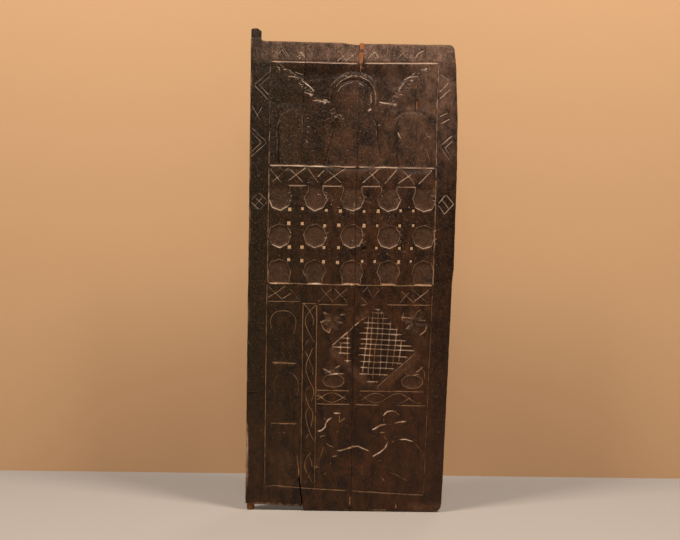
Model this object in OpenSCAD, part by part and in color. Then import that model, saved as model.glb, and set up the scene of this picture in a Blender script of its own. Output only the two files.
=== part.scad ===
// Carved plank door leaf. Two thick planks stand side by side, the hinge plank with an upper and a
// lower pivot cut from its own wood. Two ledges across the back and iron staples hold the planks.
// X runs from the pivot axis to the free edge, the carved face looks along -Y, and Z points up.
// The origin is the middle of the lower pivot's foot.

/* [Leaf] */
// Thickness of both planks
leaf_t = 40; // [39:1:55]
// Width of the leaf at its head
leaf_w_head = 720; // [700:5:780]
// Width of the leaf at its broadest, level with the keyhole field's sill
leaf_w_broad = 738; // [720:5:800]
// Width of the leaf at its foot
leaf_w_foot = 696; // [690:5:760]
// Height over which the leaf keeps its broadest width
broad_run = 170; // [0:10:300]
// Width of the hinge plank at its head
hinge_plank_w_head = 395; // [380:5:410]
// Width of the hinge plank at its foot
hinge_plank_w_foot = 375; // [365:5:390]
// Gap of the seam between the planks
seam_gap = 0.6; // [0.2:0.1:1.5]
// Radius of the free edge's lower corner
foot_corner_r = 26; // [5:1:50]
// Radius of the free edge's upper corner
head_corner_r = 12; // [2:1:40]

/* [Pivots] */
// Radius of the upper pivot
upper_pivot_r = 18.5; // [12:0.5:18.5]
// Length of the upper pivot above the head of the leaf
upper_pivot_l = 49; // [25:1:90]
// Radius of the lower pivot
lower_pivot_r = 14; // [8:0.5:18.5]
// Length of the lower pivot below the heel of the leaf
lower_pivot_l = 21; // [10:1:45]
// Distance from the hinge edge to the pivot axis
pivot_inset = 19; // [19:0.5:30]
// Length of the cut-back heel along the foot of the hinge plank
heel_w = 198; // [120:1:260]

/* [Registers from the foot up] */
// Height of the plain foot rail
foot_rail_h = 84; // [60:1:120]
// Height of the rider's panel
rider_h = 295; // [260:1:340]
// Height of the small guilloche band over the rider
guilloche_h = 48; // [36:1:60]
// Height of the lozenge panel
lozenge_h = 307; // [290:1:340]
// Height of the lower band of crosses
low_band_h = 68; // [50:1:90]
// Height of the disc field
disc_field_h = 349; // [330:1:380]
// Height of the upper band of crosses
high_band_h = 71; // [50:1:90]
// Height of the keyhole field
keyhole_field_h = 366; // [360:1:420]
// Height of the head border
head_border_h = 71; // [50:1:100]

/* [Columns from the hinge edge] */
// Width of the hinge stile
hinge_stile_w = 71; // [55:1:85]
// Width between the frame lines at the head
field_w_head = 596; // [580:1:620]
// Width between the frame lines at the foot
field_w_foot = 562; // [550:1:590]
// Width of the niche column
niche_col_w = 126; // [116:1:130]
// Width of the upright guilloche band
guilloche_w = 50; // [40:1:60]
// Width of the blank strip beside the seam
seam_strip_w = 22; // [10:1:30]

/* [Carving depths] */
// Depth of the keyhole field's ground and of the sunk discs
ground_d = 5; // [2:0.5:8]
// Depth of the lower panels' grounds, the niches and the petals
panel_d = 3.5; // [1.5:0.5:6]
// Depth of the frame lines
line_d = 3; // [1:0.5:6]
// Width of the frame lines
line_w = 6; // [3:0.5:10]
// Depth of the fine lines
fine_d = 2; // [1:0.5:4]
// Width of the fine lines
fine_w = 4; // [2:0.5:6]

/* [Discs and piercings] */
// Radius of a sunk disc
disc_r = 41; // [30:1:44]
// Distance from the hinge side's frame line to the first disc column, less than a disc's radius
disc_inset = 39.5; // [38.5:1:42.5]
// Distance between disc columns
disc_pitch_x = 128; // [118:0.5:130]
// Distance between disc rows
disc_pitch_z = 129; // [118:0.5:132]
// Width of the neck that joins an outer disc to its band
disc_neck_w = 52; // [20:1:60]
// Side of a square piercing
pierce_w = 17; // [10:0.5:20]
// Half the distance between the piercings of a group, along X
pierce_dx = 24; // [21:0.5:26]
// Half the distance between the piercings of a group, along Z
pierce_dz = 26; // [21:0.5:28]
// Depth of the one piercing that does not go through
blind_d = 14; // [6:1:30]

/* [Keyholes] */
// Distance from a frame line to the middle of the side keyhole beside it
side_key_inset = 82; // [76:1:90]
// Radius of a side keyhole's head
side_head_r = 54; // [40:1:62]
// Height of a side keyhole above the field's sill
side_key_h = 198; // [170:1:230]
// Width of a side keyhole at its waist
side_waist_w = 84; // [50:1:100]
// Width of a side keyhole at its base
side_base_w = 120; // [90:1:130]
// Radius of the middle keyhole's outer ring
ring_r = 88; // [75:1:100]
// Width of the outer ring's border
ring_w = 24; // [12:1:34]
// Height of the middle keyhole above the field's sill
middle_key_h = 334; // [300:1:350]
// Width of the middle keyhole at its waist
middle_waist_w = 150; // [110:1:170]
// Width of the middle keyhole at its base
middle_base_w = 204; // [170:1:230]

/* [Niches] */
// Radius of a niche's rounded head
niche_head_r = 46; // [30:1:50]
// Height of a niche
niche_h = 184; // [150:1:200]
// Width of a niche under its head
niche_neck_w = 62; // [40:1:80]
// Width of a niche at its sill
niche_foot_w = 89; // [50:1:92]
// Distance from the low band to the upper niche
niche_drop = 25; // [12:1:40]
// Distance between the two niches
niche_gap = 31; // [15:1:50]

/* [Lower panels] */
// Half width of the lozenge's lattice
lozenge_half_w = 150; // [120:1:152]
// Half height of the lozenge's lattice
lozenge_half_h = 142; // [110:1:146]
// Distance between the lattice lines
lattice_pitch = 20; // [16:1:30]
// Width of the lozenge's smooth border
lozenge_border_w = 14; // [8:1:20]
// Radius of a rosette
rosette_r = 43; // [30:1:44]
// Distance between the crossings of a guilloche strand
guilloche_pitch = 87; // [70:1:100]

/* [Ledges and iron] */
// Thickness of the ledges
ledge_t = 28; // [20:1:40]
// Bevel along the ledges' back corners
ledge_bevel = 6; // [2:1:9]
// Height of the upper ledge's middle over the foot
upper_ledge_z = 1183; // [1150:1:1240]
// Width of the upper ledge
upper_ledge_w = 86; // [60:1:110]
// Height of the lower ledge's middle over the foot
lower_ledge_z = 347; // [300:1:380]
// Width of the lower ledge
lower_ledge_w = 190; // [180:1:220]
// Distance between the lower ledge's two rows of nails
nail_rows_gap = 128; // [90:1:140]
// Distance from the hinge edge to the ledges' ends
ledge_inset = 14; // [5:1:20]
// Distance from the free edge to the upper ledge's end
upper_ledge_free_inset = 48; // [5:1:55]
// Distance from the free edge to the lower ledge's end
lower_ledge_free_inset = 2; // [1:1:8]
// Distance from the seam to the nails beside it
seam_nail_inset = 30; // [22:1:40]
// Thickness of a nail's square shank
nail_w = 5; // [3:0.5:7]
// Radius of a nail's head
nail_head_r = 6; // [5:0.5:10]
// Height of a nail's head
nail_head_h = 2; // [1:0.5:4]
// Length of a nail's clenched point
clench_l = 24; // [12:1:40]
// Thickness of the staple iron
staple_w = 5; // [3:0.5:8]
// Span of a seam staple
staple_span = 64; // [40:1:90]
// Length of a staple's legs
staple_leg = 27; // [15:1:31]
// Clearance round each nail and staple leg
iron_fit = 0.05; // [0.02:0.01:0.2]

/* [Slip and checks] */
// Width of the raw wood slip at the head of the seam
slip_w = 19; // [10:1:26]
// Height of the slip
slip_h = 92; // [50:1:120]
// Depth of the slip
slip_d = 12; // [6:1:20]
// Clearance round the slip
slip_fit = 0.05; // [0.02:0.01:0.2]
// Height of the open check at the foot
foot_check_h = 172; // [60:1:260]
// Width of the foot check's mouth
foot_check_w = 5; // [2:0.5:8]
// Height of the check at the head
head_check_h = 120; // [60:1:200]
// Width of the head check's mouth
head_check_w = 2; // [1:0.5:4]

/* [Hidden] */

wood = "#3b2617";
aged_wood = "#4a3526";
raw_wood = "#9c6232";
iron = "#4b4742";

$fn = 64;
over = 1;

rider_z = foot_rail_h;
guilloche_z = rider_z + rider_h;
lozenge_z = guilloche_z + guilloche_h;
low_band_z = lozenge_z + lozenge_h;
disc_z = low_band_z + low_band_h;
high_band_z = disc_z + disc_field_h;
keyhole_z = high_band_z + high_band_h;
head_border_z = keyhole_z + keyhole_field_h;
leaf_h = head_border_z + head_border_h;
low_field_h = low_band_z - rider_z;

front_y = -leaf_t / 2;
back_y = leaf_t / 2;
guilloche_x = hinge_stile_w + niche_col_w;
panel_x = guilloche_x + guilloche_w;
heel_rise = 8;
corner_steps = 6;

stile_mark_z = [1300, 1500];
stile_mark_reach = 0.8;
stile_mark_foot = 0.08;
stile_mark_inner = 0.6;
chevron_rise = 55;
chevron_step = 22;
stile_lozenge_z = 1096;
stile_lozenge_half = [0.38, 0.44];
waist_rise = 0.35;
cross_share = 0.76;
upright_eye_bow = 0.75;
level_pitch_share = 0.9;
petal_bow = 0.62;
petal_gap = 1;
slip_knot = 0.3;
check_bend = 0.6;
check_drift = 3;
nail_hinge_x = 35;
nail_free_x = 75;
low_nail_hinge_x = 55;
low_nail_free_x = 22;
mid_nail_hinge_x = 178;
mid_nail_free_x = 34;
stile_nail_places = [[35, 1586], [10, 1551], [10, 1499], [52, 207]];
stile_nail_l = 26;
stile_nail_w = 3;
stile_nail_head_r = 4;
stile_nail_head_h = 1.4;
head_taper = 0.55;
clench_t = 3;
seam_staple_heights = [136, 776, 1506];
stile_staple_x = 23;
stile_staple_z = 420;
stile_staple_span = 28;
stile_staple_t = 3;

// Place along a straight run between two values, as z goes from z0 to z1
function between(a, b, z, z0, z1) = a + (b - a) * (z - z0) / (z1 - z0);

// Distance of the seam's middle from the hinge edge at a height
function seam_x(z) = between(hinge_plank_w_foot, hinge_plank_w_head, z, 0, leaf_h);

// Distance of the free edge from the hinge edge at a height
function free_x(z) = z < keyhole_z
    ? between(leaf_w_foot, leaf_w_broad, z, 0, keyhole_z)
    : between(leaf_w_broad, leaf_w_head, max(z, keyhole_z + broad_run), keyhole_z + broad_run, leaf_h);

// Distance of the right frame line from the hinge edge at a height
function field_x(z) = hinge_stile_w + between(field_w_foot, field_w_head, z, foot_rail_h, head_border_z);

// Points of a quarter round from angle a, about a centre
function quarter(cx, cz, r, a) = [for (i = [0:corner_steps])
    [cx + r * cos(a + 90 * i / corner_steps), cz + r * sin(a + 90 * i / corner_steps)]];

// Moves from the pivot axis to the hinge edge
module at_hinge_edge() {
    translate([-pivot_inset, 0, 0]) children();
}

// Gives a flat shape in X and Z a thickness from y0 to y1
module upright(y0, y1) {
    translate([0, y1, 0]) rotate([90, 0, 0]) linear_extrude(y1 - y0) children();
}

// Cuts a flat shape into the carved face to a depth
module carve(depth) {
    upright(front_y - over, front_y + depth) children();
}

// A straight stroke of a given width between two points
module stroke(p, q, w) {
    d = q - p;
    translate(p) rotate(atan2(d[1], d[0])) translate([0, -w / 2]) square([norm(d), w]);
}

// Outline of the whole leaf, with the heel cut back beside the lower pivot
module leaf_outline() {
    polygon(concat(
        [[0, leaf_h], [0, lower_pivot_l], [2 * pivot_inset, lower_pivot_l],
            [heel_w + foot_check_w / 2, lower_pivot_l - heel_rise], [heel_w + foot_check_w / 2, 0]],
        quarter(leaf_w_foot - foot_corner_r, foot_corner_r, foot_corner_r, 270),
        [[leaf_w_broad, keyhole_z], [leaf_w_broad, keyhole_z + broad_run]],
        quarter(leaf_w_head - head_corner_r, leaf_h - head_corner_r, head_corner_r, 0)));
}

// Region on one side of the seam: -1 is the hinge side and 1 the free side
module seam_side(side) {
    far = side < 0 ? -over : leaf_w_broad + over;
    gap = side * seam_gap / 2;
    top = leaf_h + over;
    polygon([[seam_x(0) + gap, -over], [far, -over], [far, top], [seam_x(leaf_h) + gap, top]]);
}

// Field between the frame lines from one height to another
module field(z0, z1) {
    polygon([[hinge_stile_w, z0], [field_x(z0), z0], [field_x(z1), z1], [hinge_stile_w, z1]]);
}

// A keyhole outline with a round head, drawn in at its waist, on a base
module keyhole(x, head_r, h, waist_w, base_w) {
    waist_z = keyhole_z + h - 2 * head_r + head_r * waist_rise;
    translate([x, keyhole_z + h - head_r]) circle(head_r);
    polygon([[x - base_w / 2, keyhole_z], [x + base_w / 2, keyhole_z], [x + waist_w / 2, waist_z],
        [x - waist_w / 2, waist_z]]);
}

// The keyhole field's ground, with its three keyholes and the middle one's ring left standing
module keyhole_ground() {
    ring_z = keyhole_z + middle_key_h - ring_r;
    middle_x = (hinge_stile_w + field_x(keyhole_z)) / 2;
    left_x = hinge_stile_w + side_key_inset;
    right_x = field_x(keyhole_z) - side_key_inset;
    inner_r = ring_r - ring_w - fine_w;
    difference() {
        field(keyhole_z, head_border_z);
        keyhole(left_x, side_head_r, side_key_h, side_waist_w, side_base_w);
        keyhole(right_x, side_head_r, side_key_h, side_waist_w, side_base_w);
        difference() {
            translate([middle_x, ring_z]) circle(ring_r);
            translate([middle_x, ring_z]) circle(ring_r - ring_w);
        }
        keyhole(middle_x, inner_r, middle_key_h - ring_w - fine_w, middle_waist_w, middle_base_w);
    }
}

function disc_x(i) = hinge_stile_w + disc_inset + i * disc_pitch_x;
function disc_row_z(j) = disc_z + disc_field_h / 2 + (j - 1) * disc_pitch_z;

// Sunk discs, cut off at the frame lines, with a neck from each outer row to its band
module sunk_discs() {
    intersection() {
        field(disc_z, high_band_z);
        for (i = [0:4]) {
            x = disc_x(i);
            for (j = [0:2]) translate([x, disc_row_z(j)]) circle(disc_r);
            stroke([x, disc_z - over], [x, disc_row_z(0)], disc_neck_w);
            stroke([x, disc_row_z(2)], [x, high_band_z + over], disc_neck_w);
        }
    }
}

// Square piercings, four between each four discs, one of them blind
module piercings() {
    for (i = [0:3], j = [0:1], sx = [-1, 1], sz = [-1, 1]) {
        x = (disc_x(i) + disc_x(i + 1)) / 2 + sx * pierce_dx;
        z = (disc_row_z(j) + disc_row_z(j + 1)) / 2 + sz * pierce_dz;
        blind = i == 2 && j == 0 && sx == -1 && sz == 1;
        end_y = blind ? front_y + blind_d : back_y + over;
        translate([x - pierce_w / 2, front_y - over, z - pierce_w / 2])
            cube([pierce_w, end_y - front_y + over, pierce_w]);
    }
}

// Frame lines round the fields
module frame_lines() {
    levels = [rider_z, low_band_z, disc_z, high_band_z, keyhole_z, head_border_z];
    for (z = levels) stroke([hinge_stile_w - line_w / 2, z], [field_x(z) + line_w / 2, z], line_w);
    stroke([hinge_stile_w, rider_z], [hinge_stile_w, head_border_z], line_w);
    stroke([field_x(rider_z), rider_z], [field_x(head_border_z), head_border_z], line_w);
    for (x = [guilloche_x, panel_x]) stroke([x, rider_z], [x, low_band_z], fine_w);
    for (z = [guilloche_z, lozenge_z]) stroke([panel_x, z], [field_x(z), z], fine_w);
}

// A row of crosses along a band, left blank beside the seam
module crosses(z, h, count) {
    pitch = (field_x(z) - hinge_stile_w) / count;
    for (i = [0:count - 1]) {
        x0 = hinge_stile_w + (i + (1 - cross_share) / 2) * pitch;
        x1 = x0 + cross_share * pitch;
        z0 = z + line_w;
        z1 = z + h - line_w;
        if (x1 < seam_x(z) - seam_strip_w || x0 > seam_x(z)) {
            stroke([x0, z0], [x1, z1], fine_w);
            stroke([x0, z1], [x1, z0], fine_w);
        }
    }
}

// A lens between two arcs of radius r, with its points a distance l apart along X
module lens(l, r) {
    drop = sqrt(r * r - l * l / 4);
    intersection() {
        translate([0, drop]) circle(r);
        translate([0, -drop]) circle(r);
    }
}

// Rows of sunk lenses between the strands of the guilloche bands
module guilloche_eyes() {
    upright_count = floor(low_field_h / guilloche_pitch);
    eye_l = guilloche_pitch - 2 * fine_w;
    for (i = [0:upright_count - 1])
        translate([guilloche_x + guilloche_w / 2, rider_z + (i + 0.5) * low_field_h / upright_count])
            rotate(90) lens(eye_l, eye_l * upright_eye_bow);
    level_w = field_x(guilloche_z) - panel_x;
    level_count = floor(level_w / (guilloche_pitch * level_pitch_share));
    level_pitch = level_w / level_count;
    for (i = [0:level_count - 1])
        translate([panel_x + (i + 0.5) * level_pitch, guilloche_z + guilloche_h / 2])
            lens(level_pitch - 2 * fine_w, level_pitch);
}

// A sunk niche with a rounded head and a straight sill
module niche(z) {
    x = hinge_stile_w + niche_col_w / 2;
    head_z = z + niche_h - niche_head_r;
    translate([x, head_z]) circle(niche_head_r);
    polygon([[x - niche_foot_w / 2, z], [x + niche_foot_w / 2, z], [x + niche_neck_w / 2, head_z],
        [x - niche_neck_w / 2, head_z]]);
}

// The niche column: two niches over a plain recess
module niches() {
    upper_z = low_band_z - niche_drop - niche_h;
    lower_z = upper_z - niche_gap - niche_h;
    margin = 2 * line_w;
    niche(upper_z);
    niche(lower_z);
    translate([hinge_stile_w + margin, rider_z + line_w])
        square([niche_col_w - 2 * margin, lower_z - margin - rider_z - line_w]);
}

function lozenge_mid() = [(panel_x + field_x(lozenge_z + lozenge_h / 2)) / 2, lozenge_z + lozenge_h / 2];

// A lozenge about the middle of its panel
module lozenge(half_w, half_h) {
    translate(lozenge_mid()) polygon([[half_w, 0], [0, half_h], [-half_w, 0], [0, -half_h]]);
}

// Lines of the lozenge's lattice, cut off at its edge
module lattice() {
    rows = floor(lozenge_half_h / lattice_pitch);
    columns = floor(lozenge_half_w / lattice_pitch);
    mid = lozenge_mid();
    difference() {
        intersection() {
            lozenge(lozenge_half_w, lozenge_half_h);
            union() {
                for (i = [-rows:rows])
                    stroke([mid[0] - lozenge_half_w, mid[1] + i * lattice_pitch],
                        [mid[0] + lozenge_half_w, mid[1] + i * lattice_pitch], fine_w);
                for (i = [-columns:columns])
                    stroke([mid[0] + i * lattice_pitch, mid[1] - lozenge_half_h],
                        [mid[0] + i * lattice_pitch, mid[1] + lozenge_half_h], fine_w);
            }
        }
        seam_strip(lozenge_z, low_band_z);
    }
}

// The blank strip beside the seam from one height to another
module seam_strip(z0, z1) {
    stroke([seam_x(z0) + seam_strip_w / 2, z0], [seam_x(z1) + seam_strip_w / 2, z1], seam_strip_w);
}

// Floor of a lower panel between two frame heights, drawn in from its frame lines
module panel_floor(z0, z1, inset) {
    polygon([[panel_x + inset, z0 + inset], [field_x(z0) - inset, z0 + inset],
        [field_x(z1) - inset, z1 - inset], [panel_x + inset, z1 - inset]]);
}

// Ground round the lozenge, with a rosette disc left standing in each corner
module lozenge_ground() {
    difference() {
        panel_floor(lozenge_z, low_band_z, line_w);
        lozenge(lozenge_half_w + lozenge_border_w, lozenge_half_h + lozenge_border_w);
        rosette_places() circle(rosette_r);
        seam_strip(lozenge_z, low_band_z);
    }
}

// Places its children at the four corners round the lozenge
module rosette_places() {
    inset = rosette_r + 2 * line_w;
    for (z = [lozenge_z + inset, low_band_z - inset]) {
        translate([panel_x + inset, z]) children();
        translate([field_x(z) - inset, z]) children();
    }
}

// Six petals drawn with the compass inside a rosette
module petals() {
    petal_l = rosette_r - fine_w;
    rosette_places() for (a = [0:60:300])
        rotate(a) translate([petal_gap + petal_l / 2, 0]) lens(petal_l, petal_l * petal_bow);
}

// Horse, facing the hinge edge, in a panel of horse_panel
horse_panel = [382, 295];
horse = [[2, 190], [18, 200], [28, 215], [30, 232], [50, 247], [56, 264], [78, 262], [98, 228], [88, 190],
    [92, 140], [148, 144], [188, 128], [205, 118], [245, 120], [293, 172], [325, 172], [348, 165], [373, 122],
    [376, 12], [352, 12], [345, 72], [300, 66], [340, 34], [328, 22], [255, 56], [250, 74], [182, 74],
    [174, 38], [158, 38], [150, 72], [80, 76], [38, 38], [22, 48], [52, 110], [60, 142], [32, 160],
    [40, 178]];

// Rider on the horse, and the middle of the rider's round head
rider_body = [[205, 104], [225, 128], [243, 142], [243, 196], [222, 194], [192, 184], [190, 196],
    [222, 212], [245, 222], [245, 240], [285, 240], [288, 230], [311, 235], [311, 222], [290, 214],
    [290, 130], [250, 100]];
rider_head = [266, 250];
rider_head_r = 24;

// The rider's panel, with horse and rider left standing
module rider_ground() {
    fit = [(field_x(rider_z) - panel_x) / horse_panel[0], rider_h / horse_panel[1]];
    difference() {
        panel_floor(rider_z, guilloche_z, line_w);
        for (shape = [horse, rider_body])
            polygon([for (p = shape) [panel_x + p[0] * fit[0], rider_z + p[1] * fit[1]]]);
        translate([panel_x + rider_head[0] * fit[0], rider_z + rider_head[1] * fit[1]]) circle(rider_head_r);
        seam_strip(rider_z, guilloche_z);
    }
}

// Double chevrons and a crossed lozenge on a stile between x0 and x1, pointing to x1
module stile_marks(x0, x1) {
    w = x1 - x0;
    for (z = stile_mark_z) {
        dir = z == stile_mark_z[0] ? 1 : -1;
        base = dir > 0 ? x0 : x1;
        for (k = [0, 1]) {
            tip = base + dir * w * stile_mark_reach * (k == 0 ? 1 : stile_mark_inner);
            rise = chevron_rise - chevron_step * k;
            foot = base + dir * w * stile_mark_foot;
            stroke([foot, z - rise], [tip, z], fine_w);
            stroke([foot, z + rise], [tip, z], fine_w);
        }
    }
    mid = [(x0 + x1) / 2, stile_lozenge_z];
    half = abs(w) * stile_lozenge_half;
    for (sx = [-1, 1], sz = [-1, 1]) stroke(mid + [sx * half[0], 0], mid + [0, sz * half[1]], fine_w);
}

// The open check that runs up from the foot of the hinge plank
module foot_check() {
    x = heel_w;
    upright(front_y - over, back_y + over)
        polygon([[x, -over], [x + foot_check_w, -over], [x - foot_check_w, foot_check_h * check_bend],
            [x - check_drift * foot_check_w, foot_check_h]]);
}

// The check that runs down from the head of the hinge plank
module head_check() {
    x = guilloche_x;
    upright(front_y - over, back_y + over)
        polygon([[x, leaf_h + over], [x + head_check_w, leaf_h + over], [x, leaf_h - head_check_h]]);
}

// Everything that is cut into the carved face
module carving() {
    carve(ground_d) keyhole_ground();
    carve(ground_d) sunk_discs();
    carve(line_d) frame_lines();
    carve(fine_d) crosses(low_band_z, low_band_h, 10);
    carve(fine_d) crosses(high_band_z, high_band_h, 9);
    carve(panel_d) guilloche_eyes();
    carve(panel_d) niches();
    carve(panel_d) lozenge_ground();
    carve(fine_d) lattice();
    carve(panel_d) petals();
    carve(panel_d) rider_ground();
    carve(fine_d) stile_marks(0, hinge_stile_w);
    carve(fine_d) stile_marks(free_x(stile_mark_z[1]), field_x(stile_mark_z[1]));
}

function upper_nails() = [
    [nail_hinge_x, upper_ledge_z, 0],
    [seam_x(upper_ledge_z) - seam_nail_inset, upper_ledge_z, 0],
    [seam_x(upper_ledge_z) + seam_nail_inset, upper_ledge_z, 0],
    [free_x(upper_ledge_z) - nail_free_x, upper_ledge_z, 0]];

function lower_nails() = let (
    z0 = lower_ledge_z - nail_rows_gap / 2,
    z1 = lower_ledge_z + nail_rows_gap / 2
) [
    [low_nail_hinge_x, z0, 0],
    [seam_x(z0) - seam_nail_inset, z0, panel_d],
    [seam_x(z0) + seam_nail_inset, z0, panel_d],
    [free_x(z0) - low_nail_free_x, z0, 0],
    [mid_nail_hinge_x, z1, 0],
    [seam_x(z1) + seam_nail_inset, z1, 0],
    [free_x(z1) - mid_nail_free_x, z1, 0]];

// Square ways through planks and ledge for a row of nails, with the beds of their clenched points
module nail_ways(nails) {
    side = nail_w + 2 * iron_fit;
    long = leaf_t + ledge_t + over;
    bed = clench_t + iron_fit;
    for (n = nails) translate([n[0] - side / 2, front_y - over, n[1] - side / 2]) {
        cube([side, long + over, side]);
        translate([0, long - bed, 0]) cube([clench_l + 2 * iron_fit, bed + over, side]);
    }
}

// A forged nail: low round head on the carved face, square shank, and point clenched into the ledge's back
module nail(n) {
    seat = front_y + n[2];
    end = back_y + ledge_t;
    translate([n[0], seat, n[1]]) rotate([90, 0, 0])
        cylinder(h = nail_head_h, r1 = nail_head_r, r2 = nail_head_r * head_taper);
    translate([n[0] - nail_w / 2, seat, n[1] - nail_w / 2]) cube([nail_w, end - seat, nail_w]);
    translate([n[0] - nail_w / 2, end - clench_t, n[1] - nail_w / 2]) cube([clench_l, clench_t, nail_w]);
}

// A ledge across the back between two ends, with beveled back corners
module ledge(z, w, x0, x1, nails) {
    side_y = back_y + ledge_t - ledge_bevel;
    flat_y = back_y + ledge_t;
    flat_w = w - 2 * ledge_bevel;
    difference() {
        translate([x0, 0, z]) rotate([90, 0, 90]) linear_extrude(x1 - x0)
            polygon([[back_y, -w / 2], [side_y, -w / 2], [flat_y, -flat_w / 2], [flat_y, flat_w / 2],
                [side_y, w / 2], [back_y, w / 2]]);
        nail_ways(nails);
    }
}

// Holes for a seam staple's two legs in the back of the planks
module seam_staple_ways() {
    side = staple_w + 2 * iron_fit;
    deep = staple_leg + iron_fit;
    for (z = seam_staple_heights, s = [-1, 1])
        translate([seam_x(z) + s * (staple_span - staple_w) / 2 - side / 2, back_y - deep, z - side / 2])
            cube([side, deep + over, side]);
}

// Holes for the stile staple's two legs in the carved face
module stile_staple_ways() {
    side = stile_staple_t + 2 * iron_fit;
    for (s = [-1, 1])
        translate([stile_staple_x + s * (stile_staple_span - stile_staple_t) / 2 - side / 2, front_y - over,
            stile_staple_z - side / 2])
            cube([side, staple_leg + iron_fit + over, side]);
}

// Holes for the loose nails in the hinge stile
module stile_nail_ways() {
    side = stile_nail_w + 2 * iron_fit;
    for (p = stile_nail_places) translate([p[0] - side / 2, front_y - over, p[1] - side / 2])
        cube([side, stile_nail_l + iron_fit + over, side]);
}

// Outline of the slip's housing, tapering down along the seam
module slip_outline(fit) {
    z1 = leaf_h - slip_h;
    top = leaf_h + (fit > 0 ? over : 0);
    knot_half = slip_w * slip_knot + fit;
    knot_z = z1 + slip_h * slip_knot;
    polygon([[seam_x(leaf_h) - slip_w / 2 - fit, top], [seam_x(leaf_h) + slip_w / 2 + fit, top],
        [seam_x(z1) + knot_half, knot_z], [seam_x(z1), z1 - fit], [seam_x(z1) - knot_half, knot_z]]);
}

// One plank of the leaf, with all that is cut into it
module plank(side) {
    difference() {
        upright(front_y, back_y) intersection() {
            leaf_outline();
            seam_side(side);
        }
        carving();
        piercings();
        nail_ways(upper_nails());
        nail_ways(lower_nails());
        seam_staple_ways();
        upright(front_y - over, front_y + slip_d + slip_fit) slip_outline(slip_fit);
    }
}

module hinge_plank() {
    color(wood) {
        at_hinge_edge() difference() {
            plank(-1);
            foot_check();
            head_check();
            stile_staple_ways();
            stile_nail_ways();
        }
        cylinder(h = lower_pivot_l + leaf_t / 2, r = lower_pivot_r);
        translate([0, 0, leaf_h - leaf_t / 2]) cylinder(h = upper_pivot_l + leaf_t / 2, r = upper_pivot_r);
    }
}

module closing_plank() {
    color(wood) at_hinge_edge() plank(1);
}

module seam_slip() {
    color(raw_wood) at_hinge_edge() upright(front_y, front_y + slip_d) slip_outline(0);
}

module upper_ledge() {
    color(aged_wood) at_hinge_edge()
        ledge(upper_ledge_z, upper_ledge_w, ledge_inset, free_x(upper_ledge_z) - upper_ledge_free_inset,
            upper_nails());
}

module lower_ledge() {
    color(aged_wood) at_hinge_edge()
        ledge(lower_ledge_z, lower_ledge_w, ledge_inset,
            free_x(lower_ledge_z - lower_ledge_w / 2) - lower_ledge_free_inset, lower_nails());
}

module upper_ledge_nails() {
    color(iron) at_hinge_edge() for (n = upper_nails()) nail(n);
}

module lower_ledge_nails() {
    color(iron) at_hinge_edge() for (n = lower_nails()) nail(n);
}

module seam_staples() {
    leg_x = (staple_span - staple_w) / 2;
    color(iron) at_hinge_edge() for (z = seam_staple_heights) translate([seam_x(z), back_y, z]) {
        translate([-staple_span / 2, 0, -staple_w / 2]) cube([staple_span, staple_w, staple_w]);
        for (s = [-1, 1]) translate([s * leg_x - staple_w / 2, -staple_leg, -staple_w / 2])
            cube([staple_w, staple_leg + staple_w / 2, staple_w]);
    }
}

module stile_staple() {
    t = stile_staple_t;
    color(iron) at_hinge_edge() translate([stile_staple_x, front_y, stile_staple_z]) {
        translate([-stile_staple_span / 2, -t, -t / 2]) cube([stile_staple_span, t, t]);
        for (s = [-1, 1]) translate([s * (stile_staple_span - t) / 2 - t / 2, -t / 2, -t / 2])
            cube([t, staple_leg + t / 2, t]);
    }
}

module stile_nails() {
    t = stile_nail_w;
    color(iron) at_hinge_edge() for (p = stile_nail_places) translate([p[0], front_y, p[1]]) {
        rotate([90, 0, 0])
            cylinder(h = stile_nail_head_h, r1 = stile_nail_head_r, r2 = stile_nail_head_r * head_taper);
        translate([-t / 2, 0, -t / 2]) cube([t, stile_nail_l, t]);
    }
}

hinge_plank();
closing_plank();
seam_slip();
upper_ledge();
lower_ledge();
upper_ledge_nails();
lower_ledge_nails();
seam_staples();
stile_staple();
stile_nails();
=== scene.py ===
"""Carved plank door leaf: the carving, timber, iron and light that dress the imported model.

Lengths are millimetres until a mesh is made. Across runs from the hinge edge and up from the level of
the leaf's worn foot line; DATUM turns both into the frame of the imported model.
"""

import logging
import math
from collections.abc import Callable, Iterable, Sequence
from dataclasses import dataclass, field
from enum import Enum

import bpy
import numpy as np
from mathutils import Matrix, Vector
from mathutils.geometry import delaunay_2d_cdt
from mathutils.kdtree import KDTree


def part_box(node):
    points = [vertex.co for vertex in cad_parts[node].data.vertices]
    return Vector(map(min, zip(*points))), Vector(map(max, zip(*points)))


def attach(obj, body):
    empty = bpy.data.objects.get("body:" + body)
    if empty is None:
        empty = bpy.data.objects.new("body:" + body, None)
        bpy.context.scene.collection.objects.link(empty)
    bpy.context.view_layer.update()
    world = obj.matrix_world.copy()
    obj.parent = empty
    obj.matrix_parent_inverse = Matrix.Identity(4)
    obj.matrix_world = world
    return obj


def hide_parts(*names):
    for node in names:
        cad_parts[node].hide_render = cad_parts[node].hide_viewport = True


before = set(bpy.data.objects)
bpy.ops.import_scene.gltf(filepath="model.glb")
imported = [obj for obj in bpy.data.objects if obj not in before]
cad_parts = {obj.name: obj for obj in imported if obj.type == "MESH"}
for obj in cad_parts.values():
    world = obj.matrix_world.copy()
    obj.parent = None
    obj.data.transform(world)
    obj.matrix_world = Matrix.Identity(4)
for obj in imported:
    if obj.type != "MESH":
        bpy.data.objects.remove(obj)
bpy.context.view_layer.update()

LOG = logging.getLogger("door_leaf")
MM = 0.001
DATUM = np.array([-19.0, 6.0])
FRONT = -20.0
BACK = 20.0
STEP = 4.5
CHUNK = 4000
PRIMES = (73856093, 19349663, 83492791, 1274126177)
SLIP_FOOT = 1552
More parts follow.
